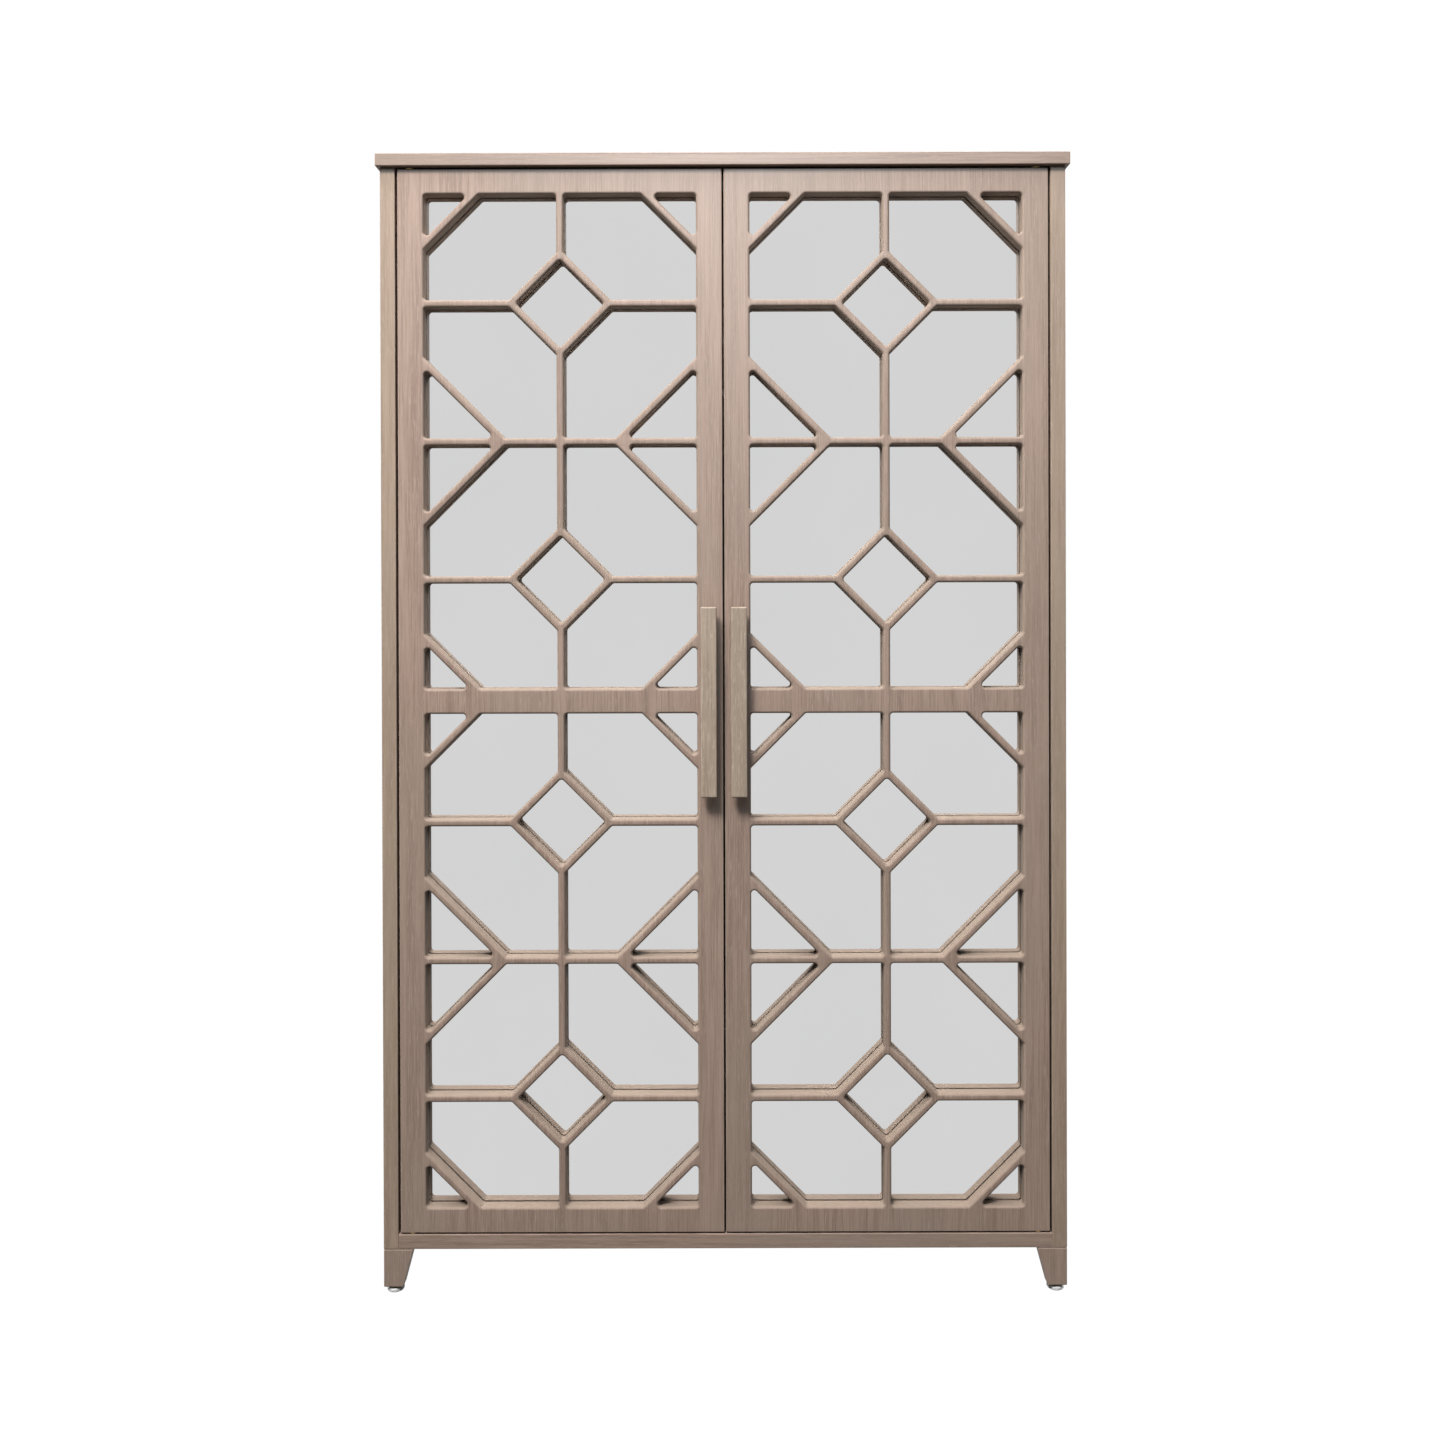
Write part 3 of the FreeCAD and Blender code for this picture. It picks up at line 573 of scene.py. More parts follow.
class Outline:
    """A convex outline with rounded corners, which grows and shrinks evenly."""

    def __init__(self, middle: Pair, walls: Sequence[Triple], radius: float) -> None:
        """Finds the centres of the rounded corners.

        Args:
            middle: The point that distances are taken from, as (x, z).
            walls: Each wall as the x and z of its outward direction and its distance from middle.
            radius: Radius of the corners.
        """
        self.radius = radius
        self.corners: list[tuple[float, float, float, float]] = []
        ordered = sorted(walls, key=lambda wall: math.atan2(wall[1], wall[0]))
        for (ax, az, a), (bx, bz, b) in zip(ordered, ordered[1:] + ordered[:1]):
            a -= radius
            b -= radius
            cross = ax * bz - az * bx
            start = math.atan2(az, ax)
            turn = (math.atan2(bz, bx) - start) % (2 * math.pi)
            spot = ((a * bz - b * az) / cross, (b * ax - a * bx) / cross)
            self.corners.append((middle[0] + spot[0], middle[1] + spot[1], start, turn))

    def ring(self, growth: float) -> list[Pair]:
        """The points of the grown outline.

        Args:
            growth: How far it grows on every side.

        Returns:
            The points, as pairs of x and z.
        """
        reach = self.radius + growth
        points = []
        for x, z, start, turn in self.corners:
            steps = max(2, round(turn / CORNER_STEP))
            for k in range(steps + 1):
                angle = start + turn * k / steps
                points.append((x + reach * math.cos(angle), z + reach * math.sin(angle)))
        return points


def bridge(bm: bmesh.types.BMesh, first: list, second: list) -> None:
    """Faces between two rings of as many vertices."""
    for k, (a, b) in enumerate(zip(first, second)):
        bm.faces.new((first[k - 1], a, b, second[k - 1]))


def ring_edges(bm: bmesh.types.BMesh, ring: list) -> list:
    """The edges that join the neighbours in a ring."""
    return [bm.edges.get((ring[k - 1], vertex)) for k, vertex in enumerate(ring)]


def span(points: Sequence[Vector]) -> tuple[Vector, Vector]:
    """The lowest and the highest corner of the box around some points."""
    low, high = (Vector([end(point[k] for point in points) for k in range(3)]) for end in (min, max))
    return low, high


def threaded(root: float, crest: float, start: float, pitch: float, turns: int) -> list[Pair]:
    """Profile of a thread.

    Args:
        root: Radius between the ridges.
        crest: Radius of the ridges.
        start: Height that it starts from.
        pitch: From ridge to ridge.
        turns: How many ridges it has.

    Returns:
        Pairs of radius and height.
    """
    heights = [start + k * pitch for k in range(turns)]
    return [pair for height in heights for pair in ((root, height), (crest, height + pitch / 2))]


def rounded_block(bm: bmesh.types.BMesh, low: Vector, high: Vector, arris: float, steps: int) -> None:
    """Adds a block with rounded arrises.

    Args:
        bm: Where it is added.
        low: Lowest corner.
        high: Highest corner.
        arris: Radius of its arrises.
        steps: Steps in each arris.
    """
    size = high - low
    matrix = Matrix.Translation((low + high) / 2) @ Matrix.Diagonal((*size, 1.0))
    made = bmesh.ops.create_cube(bm, size=1.0, matrix=matrix)
    edges = list({edge for vertex in made["verts"] for edge in vertex.link_edges})
    bmesh.ops.bevel(bm, geom=edges, offset=arris, segments=steps, affect="EDGES", profile=0.5)


def turned(bm: bmesh.types.BMesh, base: Vector, axis: Vector, profile: Sequence[Pair],
           segments: int = 48) -> None:
    """Adds a turned piece.

    Args:
        bm: Where it is added.
        base: The point on its axis that heights are taken from.
        axis: The way its axis points.
        profile: Pairs of radius and height, from one end to the other. A radius of 0 closes an end.
        segments: Steps around it.
    """
    turn = UP.rotation_difference(axis).to_matrix()
    rings = []
    for radius, height in profile:
        if radius <= 0:
            rings.append([bm.verts.new(base + turn @ Vector((0, 0, height)))])
            continue
        ring = []
        for k in range(segments):
            angle = 2 * math.pi * k / segments
            spot = Vector((radius * math.cos(angle), radius * math.sin(angle), height))
            ring.append(bm.verts.new(base + turn @ spot))
        rings.append(ring)
    for first, second in zip(rings, rings[1:]):
        if len(first) == len(second):
            bridge(bm, first, second)
            continue
        tip, ring = (first[0], second) if len(first) == 1 else (second[0], first)
        for k, vertex in enumerate(ring):
            bm.faces.new((ring[k - 1], vertex, tip))


@dataclass
class Fretwork:
    """The one-piece fretwork front of a door: openings between slim bars, with rounded arrises.

    Attributes:
        low: Lowest corner of the door front.
        high: Highest corner of the door front.
        opening: Left and right of the part with bars.
        sections: Bottom and top of each part with bars.
        bar: Width of the bars.
        cell_to_rail: From the middle of a diamond to the nearest rail.
        diamond_reach: From the middle of a diamond to its tips, on the bars' centre lines.
        corner_reach: Sum of the two distances from the middle of a diamond to a corner bar.
        corner_radius: Radius of the openings' corners.
        arris: Radius of the openings' front arris.
        outer_arris: Radius of the arris around the door.
        outer_radius: Radius of the door's four corners.
    """

    low: Vector
    high: Vector
    opening: Pair
    sections: Sequence[Pair]
    bar: float = 0.0127
    cell_to_rail: float = 0.19225
    diamond_reach: float = 0.0867
    corner_reach: float = 0.344
    corner_radius: float = 0.0055
    arris: float = 0.0042
    outer_arris: float = 0.0012
    outer_radius: float = 0.0015

    def cell(self, middle: Pair, outward: int, to_bar: float) -> Iterator[Outline]:
        """The openings of one cell.

        Args:
            middle: Middle of the cell, as (x, z).
            outward: Which way the nearest rail lies, 1 for up and -1 for down.
            to_bar: From the middle of the cell to the face of the bar between two cells.

        Yields:
            The diamond, then a large and a small opening for each quarter.
        """
        half = self.bar / 2
        slant = math.sqrt(0.5)
        diamond = self.diamond_reach * slant
        corner = self.corner_reach * slant
        width = (self.opening[1] - self.opening[0]) / 2
        tips = [(u * slant, v * slant, diamond - half) for u in (-1, 1) for v in (-1, 1)]
        yield Outline(middle, tips, self.corner_radius)
        for u in (-1, 1):
            for v in (-1, 1):
                height = self.cell_to_rail if v == outward else to_bar
                sides = [(u, 0.0, width), (0.0, v, height)]
                yield Outline(middle, [
                    *sides, (u * slant, v * slant, corner - half), (-u, 0.0, -half), (0.0, -v, -half),
                    (-u * slant, -v * slant, -diamond - half)], self.corner_radius)
                yield Outline(middle, [
                    *sides, (-u * slant, -v * slant, -corner - half)], self.corner_radius)

    def openings(self) -> Iterator[Outline]:
        """Every opening of the door.

        Yields:
            The outline of each opening.
        """
        x = sum(self.opening) / 2
        for bottom, top in self.sections:
            to_bar = (top - bottom) / 2 - self.cell_to_rail - self.bar / 2
            yield from self.cell((x, bottom + self.cell_to_rail), -1, to_bar)
            yield from self.cell((x, top - self.cell_to_rail), 1, to_bar)

    def border(self) -> Outline:
        """The outline of the door front.

        Returns:
            The outline.
        """
        middle = ((self.low.x + self.high.x) / 2, (self.low.z + self.high.z) / 2)
        half_x = (self.high.x - self.low.x) / 2
        half_z = (self.high.z - self.low.z) / 2
        walls = [(1.0, 0.0, half_x), (-1.0, 0.0, half_x), (0.0, 1.0, half_z), (0.0, -1.0, half_z)]
        return Outline(middle, walls, self.outer_radius)

    def mesh(self) -> bmesh.types.BMesh:
        """Makes the panel: walls and arrises around each outline, then the front and the back.

        Returns:
            The panel's mesh.
        """
        bm = bmesh.new()
        layer = bm.verts.layers.float.new(ARRIS_LAYER)
        routed = bm.verts.layers.float.new(ROUTED_LAYER)
        fronts, backs = [], []
        outlines = [(self.border(), self.outer_arris, -1)]
        outlines += [(outline, self.arris, 1) for outline in self.openings()]
        depth = self.high.y - self.low.y
        for outline, arris, way in outlines:
            steps = [(way * arris * (1 - math.sin(a)), arris * (1 - math.cos(a)), a) for a in QUARTER_TURN]
            steps.append((0.0, depth, math.pi))
            rings = []
            for growth, back, angle in steps:
                ring = [bm.verts.new((x, self.low.y + back, z)) for x, z in outline.ring(growth)]
                for vertex in ring:
                    # Arris mark, highest halfway round the roundover; the wood paints it lighter, partly
                    # as wear and partly as a painted highlight.
                    vertex[layer] = abs(math.sin(2 * angle))
                    vertex[routed] = min(1.0, angle)
                rings.append(ring)
            for first, second in zip(rings, rings[1:]):
                bridge(bm, first, second)
            fronts += ring_edges(bm, rings[0])
            backs += ring_edges(bm, rings[-1])
        for edges in (fronts, backs):
            bmesh.ops.triangle_fill(bm, use_beauty=True, use_dissolve=False, edges=edges)
        return bm


@dataclass(frozen=True)
class CrossScrew:
    """A round-headed screw with a cross recess and a coarse thread.

    Attributes:
        head: Where the middle of the head's top is.
        axis: The way from the point to the head.
        length: Whole length.
        head_radius: Radius of the head.
        head_height: Height of the head.
        shank: Radius over the thread.
        pitch: From one ridge of the thread to the next.
        fineness: Steps from the middle of the head to its rim.
        arm: Half the width of the recess's arms, as a share of the head's radius.
        reach: Length of the arms from the middle, as such a share.
        sunk: Depth of the recess, and fall of the dome, as a share of the head's height.
    """

    head: Vector
    axis: Vector
    length: float
    head_radius: float
    head_height: float
    shank: float
    pitch: float = 0.0011
    fineness: int = 11
    arm: float = 0.17
    reach: float = 0.62
    sunk: float = 0.62

    def recess(self, aside: float, out: float) -> float:
        """How deep one pair of the recess's arms is, from 0 to 1.

        Args:
            aside: Distance from the arms' middle line.
            out: Distance along that line.

        Returns:
            The depth.
        """
        across = min(1.0, max(0.0, (self.arm - abs(aside)) / 0.06))
        return across * min(1.0, max(0.0, (self.reach - abs(out)) / 0.12))

    def height(self, x: float, y: float) -> float:
        """Height of the head's surface at a point of its unit disc, as a share of the head."""
        dome = 1.0 - self.sunk * (x * x + y * y) ** 1.4
        return dome - self.sunk * max(self.recess(x, y), self.recess(y, x))

    def add(self, bm: bmesh.types.BMesh) -> None:
        """Adds the screw to a mesh.

        Args:
            bm: The mesh.
        """
        turn = UP.rotation_difference(self.axis).to_matrix()
        base = self.head - self.axis * self.head_height
        n = self.fineness
        grid: dict[tuple[int, int], bmesh.types.BMVert] = {}
        for i in range(-n, n + 1):
            for j in range(-n, n + 1):
                a, b = i / n, j / n
                x = a * math.sqrt(1 - b * b / 2)
                y = b * math.sqrt(1 - a * a / 2)
                rise = self.height(x, y) * self.head_height
                spot = Vector((x * self.head_radius, y * self.head_radius, rise))
                grid[i, j] = bm.verts.new(base + turn @ spot)
        for i in range(-n, n):
            for j in range(-n, n):
                bm.faces.new((grid[i, j], grid[i + 1, j], grid[i + 1, j + 1], grid[i, j + 1]))
        rim = [grid[i, -n] for i in range(-n, n)]
        rim += [grid[n, j] for j in range(-n, n)]
        rim += [grid[-i, n] for i in range(-n, n)]
        rim += [grid[-n, -j] for j in range(-n, n)]
        foot = []
        for vertex in rim:
            flat = turn.inverted() @ (vertex.co - base)
            foot.append(bm.verts.new(base + turn @ Vector((flat.x, flat.y, 0.0))))
        bridge(bm, rim, foot)
        bmesh.ops.triangle_fill(bm, use_beauty=True, use_dissolve=False, edges=ring_edges(bm, foot))
        turned(bm, base, -self.axis, self.thread(), 20)

    def thread(self) -> list[Pair]:
        """Profile of the threaded part, from the head down to the point.

        Returns:
            Pairs of radius and height.
        """
        reach = self.length - self.head_height
        root = self.shank * 0.78
        ridges = threaded(root, self.shank, 0.0006, self.pitch, int((reach - 0.003) / self.pitch))
        return [(self.shank * 0.9, 0.0), *ridges, (root, reach - 0.0022), (0.0, reach)]


# Assemblies.


@dataclass
class Assembly:
    """Pieces that ride on one body of the frame.

    Attributes:
        nodes: The frame's nodes by name.
        body: The body that the pieces ride on.
    """

    nodes: dict[str, bpy.types.Object]
    body: str

    def corners(self, node: str) -> tuple[Triple, Triple]:
        """Lowest and highest corner of a node, as plain numbers."""
        low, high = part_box(node)
        return tuple(low), tuple(high)

    def wood(self, node: str, tone: WoodTone, grain: Axis) -> Wood:
        """A wood finish fitted to one node, with a figure of its own.

        Args:
            node: The node's name.
            tone: The kind of wood.
            grain: The direction of its grain.

        Returns:
            The finish.
        """
        low, high = self.corners(node)
        seed = sum(ord(letter) * (k + 1) for k, letter in enumerate(node)) % 97 + 0.5
        return Wood(node, tone, grain, seed, low, high)

    def add(self, name: str, bm: bmesh.types.BMesh, finish: Finish, slot: str,
            stands_for: Sequence[str] = ()) -> None:
        """Turns a mesh into a piece of the armoire.

        Args:
            name: The piece's name.
            bm: Its mesh, which is used up.
            finish: Its finish.
            slot: A material slot name; it is not used.
            stands_for: Nodes of the frame that it is shown for.
        """
        bmesh.ops.recalc_face_normals(bm, faces=bm.faces)
        for face in bm.faces:
            face.smooth = True
        for edge in bm.edges:
            edge.smooth = edge.calc_face_angle(0.0) < SHARP_TURN
        mesh = bpy.data.meshes.new(name)
        bm.to_mesh(mesh)
        bm.free()
        mesh.materials.append(finish.material())
        piece = bpy.data.objects.new(name, mesh)
        bpy.context.scene.collection.objects.link(piece)
        self.even(piece)
        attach(piece, self.body)
        if stands_for:
            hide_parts(*stands_for)
        LOG.info("%s: %d faces, on %s", name, len(mesh.polygons), self.body)

    def even(self, piece: bpy.types.Object) -> None:
        """Shades flat faces flat and lets the arrises carry the turn of the light.

        Args:
            piece: The piece.
        """
        shading = piece.modifiers.new("even_shading", "WEIGHTED_NORMAL")
        shading.mode = "FACE_AREA"
        shading.keep_sharp = True

    def dress(self, node: str, finish: Finish, arris: float = 0.0) -> None:
        """Gives a node of the frame its finish, and eases its edges.

        Args:
            node: The node's name.
            finish: Its finish.
            arris: How far its edges are eased, in metres.
        """
        piece = self.nodes[node]
        weld = piece.modifiers.new("joined_corners", "WELD")
        weld.merge_threshold = WELD_REACH
        if arris:
            ease = piece.modifiers.new("eased_edges", "BEVEL")
            ease.width = arris
            ease.segments = 2
            ease.limit_method = "ANGLE"
            ease.angle_limit = SHARP_TURN
            ease.use_clamp_overlap = False
        self.even(piece)
        piece.data.materials.clear()
        piece.data.materials.append(finish.material())
        LOG.info("%s: dressed as %s", node, finish.name)

    def dress_wood(self, node: str, tone: WoodTone, grain: Axis, arris: float) -> None:
        """Gives a wooden node of the frame its finish, and eases its edges."""
        self.dress(node, self.wood(node, tone, grain), arris)

    def islands(self, node: str) -> list[list[Vector]]:
        """The corners of each separate solid in a node.

        Args:
            node: The node's name.

        Returns:
            Each solid's corners, in order of the solids' middles.
        """
        bm = bmesh.new()
        bm.from_mesh(self.nodes[node].data)
        bmesh.ops.remove_doubles(bm, verts=bm.verts, dist=SAME_SPOT)
        waiting = set(bm.verts)
        found = []
        while waiting:
            reached = [waiting.pop()]
            for vertex in reached:
                near = {edge.other_vert(vertex) for edge in vertex.link_edges} & waiting
                waiting -= near
                reached += near
            found.append([vertex.co.copy() for vertex in reached])
        bm.free()

        def middle(points: list[Vector]) -> tuple[float, ...]:
            """Rounded middle of a solid's corners."""
            return tuple(round(c, 5) for c in sum(points, Vector()) / len(points))

        return sorted(found, key=middle)

    def screws(self, node: str, slot: str) -> None:
        """Shows a node of plain screws as cross-headed ones.

        Args:
            node: The node's name.
            slot: Its material slot.
        """
        bm = bmesh.new()
        for points in self.islands(node):
            self.screw(points).add(bm)
        self.add(f"{node}_shaped", bm, ZINC, slot, [node])

    def screw(self, points: Sequence[Vector]) -> CrossScrew:
        """The shaped screw that fits a plain one.

        Args:
            points: Corners of the plain screw.

        Returns:
            The shaped screw.
        """
        low, high = span(points)
        size = high - low
        along = max(range(3), key=lambda k: size[k])
        across = [k for k in range(3) if k != along]
        middle = (low + high) / 2

        def girth(end: float) -> float:
            """Radius of the screw at one end."""
            near = [point for point in points if abs(point[along] - end) < 0.0002]
            return max(math.hypot(*(point[k] - middle[k] for k in across)) for point in near)

        head_end = high[along] if girth(high[along]) > girth(low[along]) else low[along]
        axis = Vector()
        axis[along] = 1.0 if head_end > middle[along] else -1.0
        head = middle.copy()
        head[along] = head_end
        return CrossScrew(head, axis, size[along], size[across[0]] / 2, 0.0016, 0.0016)


@dataclass
class Case(Assembly):
    """The carcase: top board, sides, rails, floor, back and the fastenings that hold them.

    Attributes:
        board_arris: Radius of the arrises of boards that show.
        thin_arris: Radius of the arrises of thin or tightly fitted pieces.
    """

    board_arris: float = 0.0011
    thin_arris: float = 0.0004

    def build(self) -> None:
        """Dresses the carcase and shapes its screws."""
        self.dress_wood("top_board", TOP_OAK, Axis.X, self.thin_arris)
        for side in Side:
            self.dress_wood(f"side_{side.value}", SIDE_OAK, Axis.Z, self.board_arris)
        for name in ("front_rail", "back_rail"):
            self.dress_wood(name, LIMED_OAK, Axis.X, self.board_arris)
        self.dress_wood("floor_board", INSIDE_VENEER, Axis.X, self.thin_arris)
        self.dress_wood("door_stop_rail", INSIDE_VENEER, Axis.X, self.board_arris)
        self.dress_wood("back_panel", BACK_PLY, Axis.Z, self.thin_arris)
        self.dress_wood("case_dowels", BEECH, Axis.X, self.thin_arris)
        for name in ("pivot_bushes_top", "pivot_bushes_bottom"):
            self.dress(name, BRASS, self.thin_arris)
        for name in ("back_panel_screws", "hardware_screws"):
            self.screws(name, "zinc_steel")
        for side in Side:
            self.dress(f"catch_{side.value}", CATCH_PLASTIC, self.board_arris)


@dataclass
class Inside(Assembly):
    """Shelves, their pins, and the hanging rod in its two sockets.

    Attributes:
        shelf_arris: Radius of the shelves' arrises.
        thin_arris: Radius of the arrises of the pins and of the rod's ends.
        rod_wall: Wall of the rod's tube.
        plate: Thickness of the sockets' plates.
        plate_ease: Radius of the sockets' arrises.
        cup: Radius of the sockets' cups.
    """

    shelf_arris: float = 0.001
    thin_arris: float = 0.0004
    rod_wall: float = 0.0015
    plate: float = 0.003
    plate_ease: float = 0.0009
    cup: float = 0.016

    def build(self) -> None:
        """Dresses the shelves and makes the rod and its sockets."""
        for name in ("hat_shelf", "adjustable_shelf"):
            self.dress_wood(name, INSIDE_VENEER, Axis.X, self.shelf_arris)
        self.dress("shelf_pins", ZINC, self.thin_arris)
        self.make_rod()
        for side in Side:
            self.make_socket(side)

    def make_rod(self) -> None:
        """Makes the rod, a drawn tube."""
        low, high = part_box("hanging_rod")
        middle = (low + high) / 2
        radius = (high.z - low.z) / 2
        inner = radius - self.rod_wall
        length = high.x - low.x
        ease = self.thin_arris
        profile = [(inner, 0.0), (radius - ease, 0.0), (radius, ease), (radius, length - ease),
                   (radius - ease, length), (inner, length), (inner, 0.0)]
        bm = bmesh.new()
        turned(bm, Vector((low.x, middle.y, middle.z)), Vector((1, 0, 0)), profile, 64)
        bmesh.ops.remove_doubles(bm, verts=bm.verts, dist=SAME_SPOT)
        self.add("hanging_rod_tube", bm, CHROME, "rod_chrome", ["hanging_rod"])

    def make_socket(self, side: Side) -> None:
        """Makes a socket: a round plate with a cup that the rod lies in.

        Args:
            side: The side of the armoire that it is on.
        """
        name = f"rod_socket_{side.value}"
        low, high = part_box(name)
        middle = (low + high) / 2
        rod_low, rod_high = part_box("hanging_rod")
        rim = (high.z - low.z) / 2
        bore = (rod_high.z - rod_low.z) / 2 + 0.0002
        depth = high.x - low.x
        plate, ease, cup = self.plate, self.plate_ease, self.cup
        wall = low.x if side is Side.LEFT else high.x
        rod_end = rod_low.x if side is Side.LEFT else rod_high.x
        start = abs(rod_end - wall)
        profile = [
            (0.0, 0.0), (rim - 0.0003, 0.0), (rim, 0.0004), (rim, plate - ease),
            (rim - ease * 0.3, plate - ease * 0.3), (rim - ease, plate), (cup + 0.0012, plate),
            (cup + 0.0004, plate + 0.0004), (cup, plate + 0.0012), (cup, depth - ease),
            (cup - ease * 0.3, depth - ease * 0.3), (cup - ease, depth), (bore + 0.0003, depth),
            (bore, depth - 0.0004), (bore, start), (0.0, start),
        ]
        bm = bmesh.new()
        turned(bm, Vector((wall, middle.y, middle.z)), Vector((-side.sign, 0, 0)), profile, 64)
        self.add(f"{name}_cup", bm, CHROME, "rod_chrome", [name])


@dataclass
class Feet(Assembly):
    """The four bracket feet, which ride with the case, and the bolts in them.

    Attributes:
        foot_arris: Radius of the feet's arrises.
        bolt_arris: Radius of the bolts' arrises.
    """

    foot_arris: float = 0.0018
    bolt_arris: float = 0.0004

    def build(self) -> None:
        """Dresses the feet and their bolts."""
        for end in ("front", "back"):
            for side in Side:
                self.dress_wood(f"foot_{end}_{side.value}", LIMED_OAK, Axis.Z, self.foot_arris)
        self.dress("foot_bolts", ZINC, self.bolt_arris)


@dataclass
class Glide(Assembly):
    """A screw-in glide: a moulded disc under a steel stem.

    Attributes:
        disc_height: Height of the moulded disc.
        ease: Radius of the disc's arrises.
        neck: Radius of the collar on top of the disc.
        neck_top: Height of the collar's top.
        stem: Radius of the stem over its thread.
        pitch: Pitch of the stem's thread.
    """

    disc_height: float = 0.007
    ease: float = 0.0022
    neck: float = 0.007
    neck_top: float = 0.011
    stem: float = 0.0039
    pitch: float = 0.00125

    def build(self) -> None:
        """Makes the disc and the stem."""
        low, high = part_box(self.body)
        middle = (low + high) / 2
        base = Vector((middle.x, middle.y, low.z))
        inset = (high.x - low.x) / 2 - self.ease
        reach = [(inset + self.ease * math.sin(a), self.ease * math.cos(a)) for a in QUARTER_TURN]
        foot = [(radius, self.ease - drop) for radius, drop in reach]
        crown = [(radius, self.disc_height - self.ease + drop) for radius, drop in reversed(reach)]
        collar = [(self.neck + 0.0006, self.disc_height), (self.neck, self.disc_height + 0.0006),
                  (self.neck, self.neck_top - 0.0004), (self.neck - 0.0004, self.neck_top),
                  (0.0, self.neck_top)]
        bm = bmesh.new()
        turned(bm, base, UP, [(0.0, 0.0), *foot, *crown, *collar])
        self.add(f"{self.body}_disc", bm, NYLON, "nylon", [self.body])
        length = high.z - low.z
        root = self.stem * 0.84
        start = self.neck_top + 0.0005
        ridges = threaded(root, self.stem, start, self.pitch, int((length - start - 0.002) / self.pitch))
        profile = [(0.0, self.neck_top), (self.stem * 0.85, self.neck_top), *ridges,
                   (root, length - 0.0012), (self.stem * 0.6, length), (0.0, length)]
        bm = bmesh.new()
        turned(bm, base, UP, profile, 24)
        self.add(f"{self.body}_stem", bm, ZINC, "nylon")


@dataclass
class Door(Assembly):
    """A door: fretwork front, mirror, backing, and a bar handle on two posts.

    Attributes:
        side: Which door it is.
        silver_depth: From the back of the fretwork to the mirror's silver.
        glass_arris: Radius of the mirror's arrises.
        handle_arris: Radius of the handle's arrises.
        post_waist: How much slimmer a handle post is at its middle.
        backing_arris: Radius of the backing board's arrises.
        frame_arris: Radius of the back frame's arrises.
    """

    side: Side = Side.LEFT
    silver_depth: float = 0.0027
    glass_arris: float = 0.0004
    handle_arris: float = 0.0022
    post_waist: float = 0.0009
    backing_arris: float = 0.0006
    frame_arris: float = 0.0008

    def part(self, name: str) -> str:
        """Full name of one of the door's nodes."""
        return f"{self.body}_{name}"

    def build(self) -> None:
        """Makes and dresses every piece of the door."""
        self.make_fretwork()
        self.make_mirror()
        self.make_handle()
        self.dress_wood(self.part("backing"), INSIDE_VENEER, Axis.Z, self.backing_arris)
        self.dress_wood(self.part("back_frame"), INSIDE_VENEER, Axis.Z, self.frame_arris)
        for name, arris in (("handle_bolts", 0.0004), ("pivot_pins", 0.0005), ("strike", 0.0003)):
            self.dress(self.part(name), ZINC, arris)

    def make_fretwork(self) -> None:
        """Makes the fretwork front in one piece."""
        names = [self.part(name) for name in (
            "hinge_stile", "meeting_stile", "bottom_rail", "middle_rail", "top_rail", "lattice")]
        boxes = {name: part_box(name) for name in names}
        low, high = span([corner for box in boxes.values() for corner in box])
        lattice = boxes[self.part("lattice")]
        rails = [boxes[self.part(name)] for name in ("bottom_rail", "middle_rail", "top_rail")]
        sections = [(rails[0][1].z, rails[1][0].z), (rails[1][1].z, rails[2][0].z)]
        panel = Fretwork(low, high, (lattice[0].x, lattice[1].x), sections)
        seed = 11.5 if self.side is Side.LEFT else 47.5
        finish = Wood(self.part("fretwork"), LIMED_OAK, Axis.Z, seed, tuple(low), tuple(high), True)
        self.add(self.part("fretwork"), panel.mesh(), finish, "limed_oak", names)

    def make_mirror(self) -> None:
        """Makes the mirror, with its silver behind the thickness of the glass."""
        low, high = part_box(self.part("mirror"))
        low.y += self.silver_depth
        bm = bmesh.new()
        rounded_block(bm, low, high, self.glass_arris, 2)
        self.add(self.part("mirror_silver"), bm, MIRROR, "mirror_glass", [self.part("mirror")])

    def make_handle(self) -> None:
        """Makes the bar of the handle and its two turned posts."""
        low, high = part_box(self.part("handle"))
        bm = bmesh.new()
        rounded_block(bm, low, high, self.handle_arris, 4)
        finish = self.wood(self.part("handle"), HANDLE_OAK, Axis.Z)
        self.add(self.part("handle_bar"), bm, finish, "limed_oak", [self.part("handle")])
        name = self.part("handle_posts")
        bm = bmesh.new()
        for points in self.islands(name):
            first, last = span(points)
            middle = (first + last) / 2
            radius = (last.x - first.x) / 2
            length = last.y - first.y
            profile = [(0.0, 0.0)]
            for k in range(13):
                waist = math.sin(math.pi * k / 12)
                profile.append((radius - self.post_waist * waist, length * k / 12))
            profile.append((0.0, length))
            turned(bm, Vector((middle.x, first.y, middle.z)), Vector((0, 1, 0)), profile, 40)
        self.add(f"{name}_turned", bm, self.wood(name, HANDLE_OAK, Axis.Y), "limed_oak", [name])


# Studio.


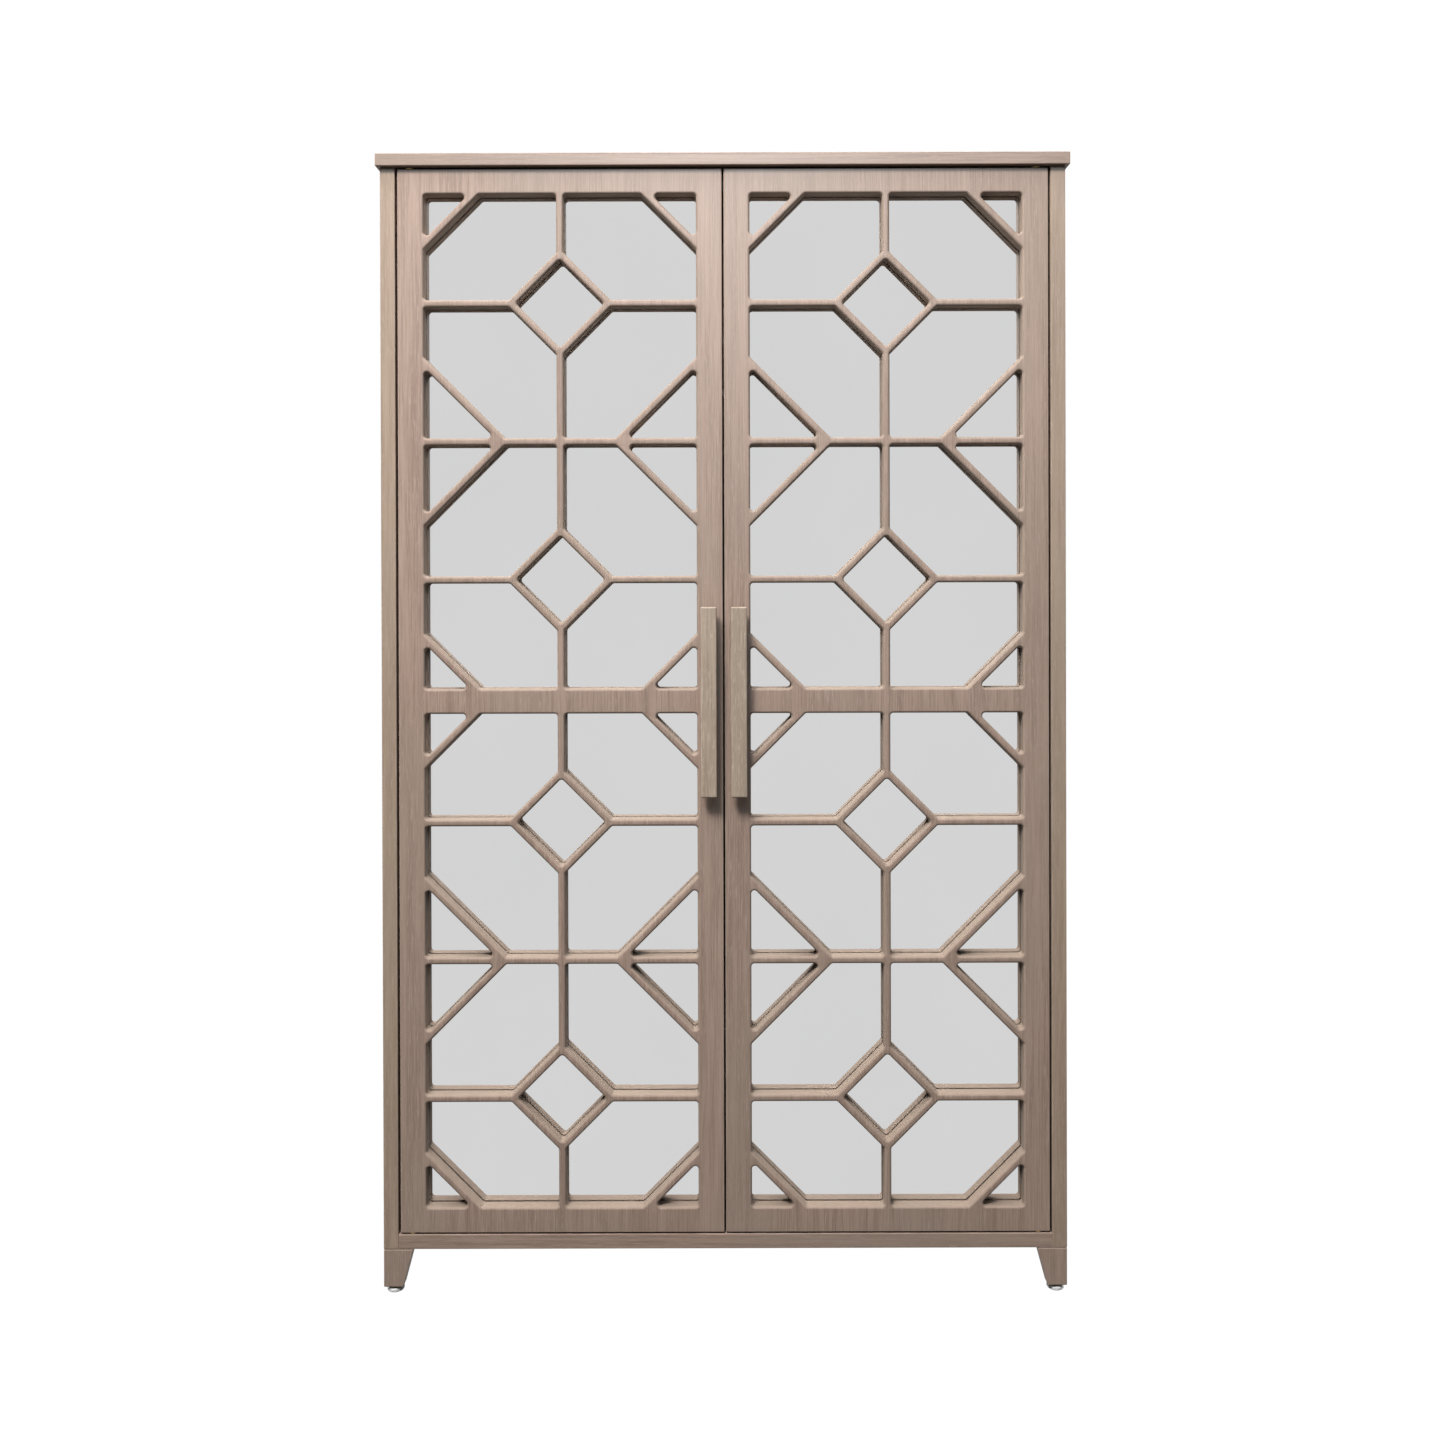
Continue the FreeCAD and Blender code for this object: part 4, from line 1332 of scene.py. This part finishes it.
@dataclass(frozen=True)
class Lamp:
    """A soft rectangular lamp.

    Attributes:
        name: The lamp's name.
        place: Where it hangs.
        aim: The point that it faces.
        size: Its width and height.
        power: Its power in watts.
        on_matt: Whether matt surfaces take its light.
        in_gloss: Whether glossy surfaces show it.
    """

    name: str
    place: Triple
    aim: Triple
    size: Pair
    power: float
    on_matt: bool = True
    in_gloss: bool = True

    def hang(self) -> None:
        """Adds the lamp to the scene."""
        data = bpy.data.lights.new(self.name, "AREA")
        data.shape = "RECTANGLE"
        data.size, data.size_y = self.size
        data.energy = self.power
        lamp = bpy.data.objects.new(self.name, data)
        lamp.location = self.place
        lamp.rotation_euler = (Vector(self.aim) - Vector(self.place)).to_track_quat("-Z", "Y").to_euler()
        lamp.visible_camera = False
        lamp.visible_diffuse = self.on_matt
        lamp.visible_glossy = self.in_gloss
        bpy.context.scene.collection.objects.link(lamp)
        LOG.info("%s: %g W", self.name, self.power)


LAMPS = (
    Lamp("overhead_light", (-0.9, -0.95, 5.5), (0.0, -0.2, 1.0), (2.0, 1.6), 190.0),
    Lamp("front_light", (-1.3, -3.05, 4.9), (0.0, -0.2, 1.6), (1.5, 1.2), 385.0, in_gloss=False),
    Lamp("sheen_light", (0.0, -2.85, 3.12), (0.0, -0.2, 1.4), (0.9, 0.5), 140.0, on_matt=False),
    Lamp("back_light", (1.0, 4.4, 4.0), (0.0, 0.2, 1.0), (2.6, 2.0), 290.0),
    Lamp("left_light", (-4.2, 0.9, 3.2), (-0.6, 0.1, 1.0), (1.6, 1.6), 150.0),
    Lamp("right_light", (4.2, 0.9, 3.2), (0.6, 0.1, 1.0), (1.6, 1.6), 170.0),
)


@dataclass
class Studio:
    """A plain pale floor, soft light and the camera.

    Attributes:
        eye: Where the camera stands.
        lens: Focal length in millimetres on a 36 mm sensor.
        lift: Vertical shift of the lens.
        tilt: How far the camera leans sideways, in degrees.
        pitch: How far the camera looks down, in degrees.
        surround: Light that the surroundings give to matt surfaces.
        reflected: How bright the surroundings are in a reflection.
        floor_size: From the middle of the floor to its edges.
        floor_grey: How much of the lamps' light the floor gives back.
        floor_glow: How bright the floor is by itself.
        floor_share: How much of that glow is seen. The rest shows the shadow.
    """

    eye: Triple = (-0.002, -2.435, 1.2523)
    lens: float = 31.117
    lift: float = -0.0935
    tilt: float = -0.16
    pitch: float = 0.2
    surround: float = 0.08
    reflected: float = 0.75
    floor_size: float = 25.0
    floor_grey: float = 0.045
    floor_glow: float = 1.14
    floor_share: float = 0.88

    def build(self) -> None:
        """Makes the floor, the surroundings, the lamps and the camera."""
        bpy.context.scene.view_settings.view_transform = "Standard"
        self.make_floor()
        self.make_surround()
        for lamp in LAMPS:
            lamp.hang()
        self.make_camera()

    def make_floor(self) -> None:
        """Makes the floor, which is pale all over, with a soft shadow under the armoire."""
        bm = bmesh.new()
        bmesh.ops.create_grid(bm, x_segments=2, y_segments=2, size=self.floor_size)
        mesh = bpy.data.meshes.new("floor")
        bm.to_mesh(mesh)
        bm.free()
        floor = bpy.data.objects.new("floor", mesh)
        bpy.context.scene.collection.objects.link(floor)
        paint = bpy.data.materials.new("floor_paint")
        paint.use_nodes = True
        kit = ShaderKit(paint.node_tree)
        matt = kit.node("ShaderNodeBsdfDiffuse", {}, {0: (*[self.floor_grey] * 3, 1.0)})
        pale = kit.node("ShaderNodeEmission", {}, {0: WHITE, 1: self.floor_glow})
        dim = kit.node("ShaderNodeEmission", {}, {0: WHITE, 1: self.reflected})
        seen, gloss = self.rays(kit)
        shown = kit.node("ShaderNodeMixShader", {}, {0: seen * self.floor_share, 1: matt, 2: pale})
        shader = kit.node("ShaderNodeMixShader", {}, {0: gloss, 1: shown, 2: dim})
        kit.node("ShaderNodeOutputMaterial", {}, {0: shader})
        mesh.materials.append(paint)
        LOG.info("floor: %g m square", 2 * self.floor_size)

    def rays(self, kit: ShaderKit) -> tuple[Value, Value]:
        """How the studio is being looked at.

        Args:
            kit: Maker of the nodes.

        Returns:
            Whether it is seen straight on, and whether it is seen in a reflection.
        """
        seen = kit.node("ShaderNodeLightPath", {}, {}, "Is Camera Ray")
        scattered = seen.other("Diffuse Depth").least(1.0)
        return seen, seen.other("Is Glossy Ray") * (1.0 - scattered)

    def make_surround(self) -> None:
        """Makes white surroundings that light matt surfaces only gently."""
        world = bpy.data.worlds.new("studio")
        world.use_nodes = True
        bpy.context.scene.world = world
        kit = ShaderKit(world.node_tree)
        seen, gloss = self.rays(kit)
        strength = self.surround + gloss * (self.reflected - self.surround) + seen * (1.0 - self.surround)
        shader = kit.node("ShaderNodeBackground", {}, {0: WHITE, 1: strength})
        kit.node("ShaderNodeOutputWorld", {}, {0: shader})

    def make_camera(self) -> None:
        """Makes the camera, square to the doors and very nearly level."""
        data = bpy.data.cameras.new("camera")
        data.lens = self.lens
        data.sensor_width = 36.0
        data.shift_y = self.lift
        camera = bpy.data.objects.new("camera", data)
        bpy.context.scene.collection.objects.link(camera)
        level = Matrix.Rotation(math.radians(90 - self.pitch), 4, "X")
        lean = Matrix.Rotation(math.radians(self.tilt), 4, "Z")
        camera.matrix_world = Matrix.Translation(self.eye) @ level @ lean
        bpy.context.scene.camera = camera
        LOG.info("camera: %.1f mm lens", self.lens)


def main() -> None:
    """Builds the armoire on its frame, and the studio around it."""
    logging.basicConfig(level=logging.INFO, format="%(name)s: %(message)s")
    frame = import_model()
    nodes = frame["nodes"]
    Studio().build()
    Case(nodes, "case").build()
    Inside(nodes, "case").build()
    Feet(nodes, "case").build()
    for end in ("front", "back"):
        for side in Side:
            Glide(nodes, f"glide_{end}_{side.value}").build()
    for side in Side:
        Door(nodes, f"door_{side.value}", side).build()


if __name__ == "__main__":
    main()
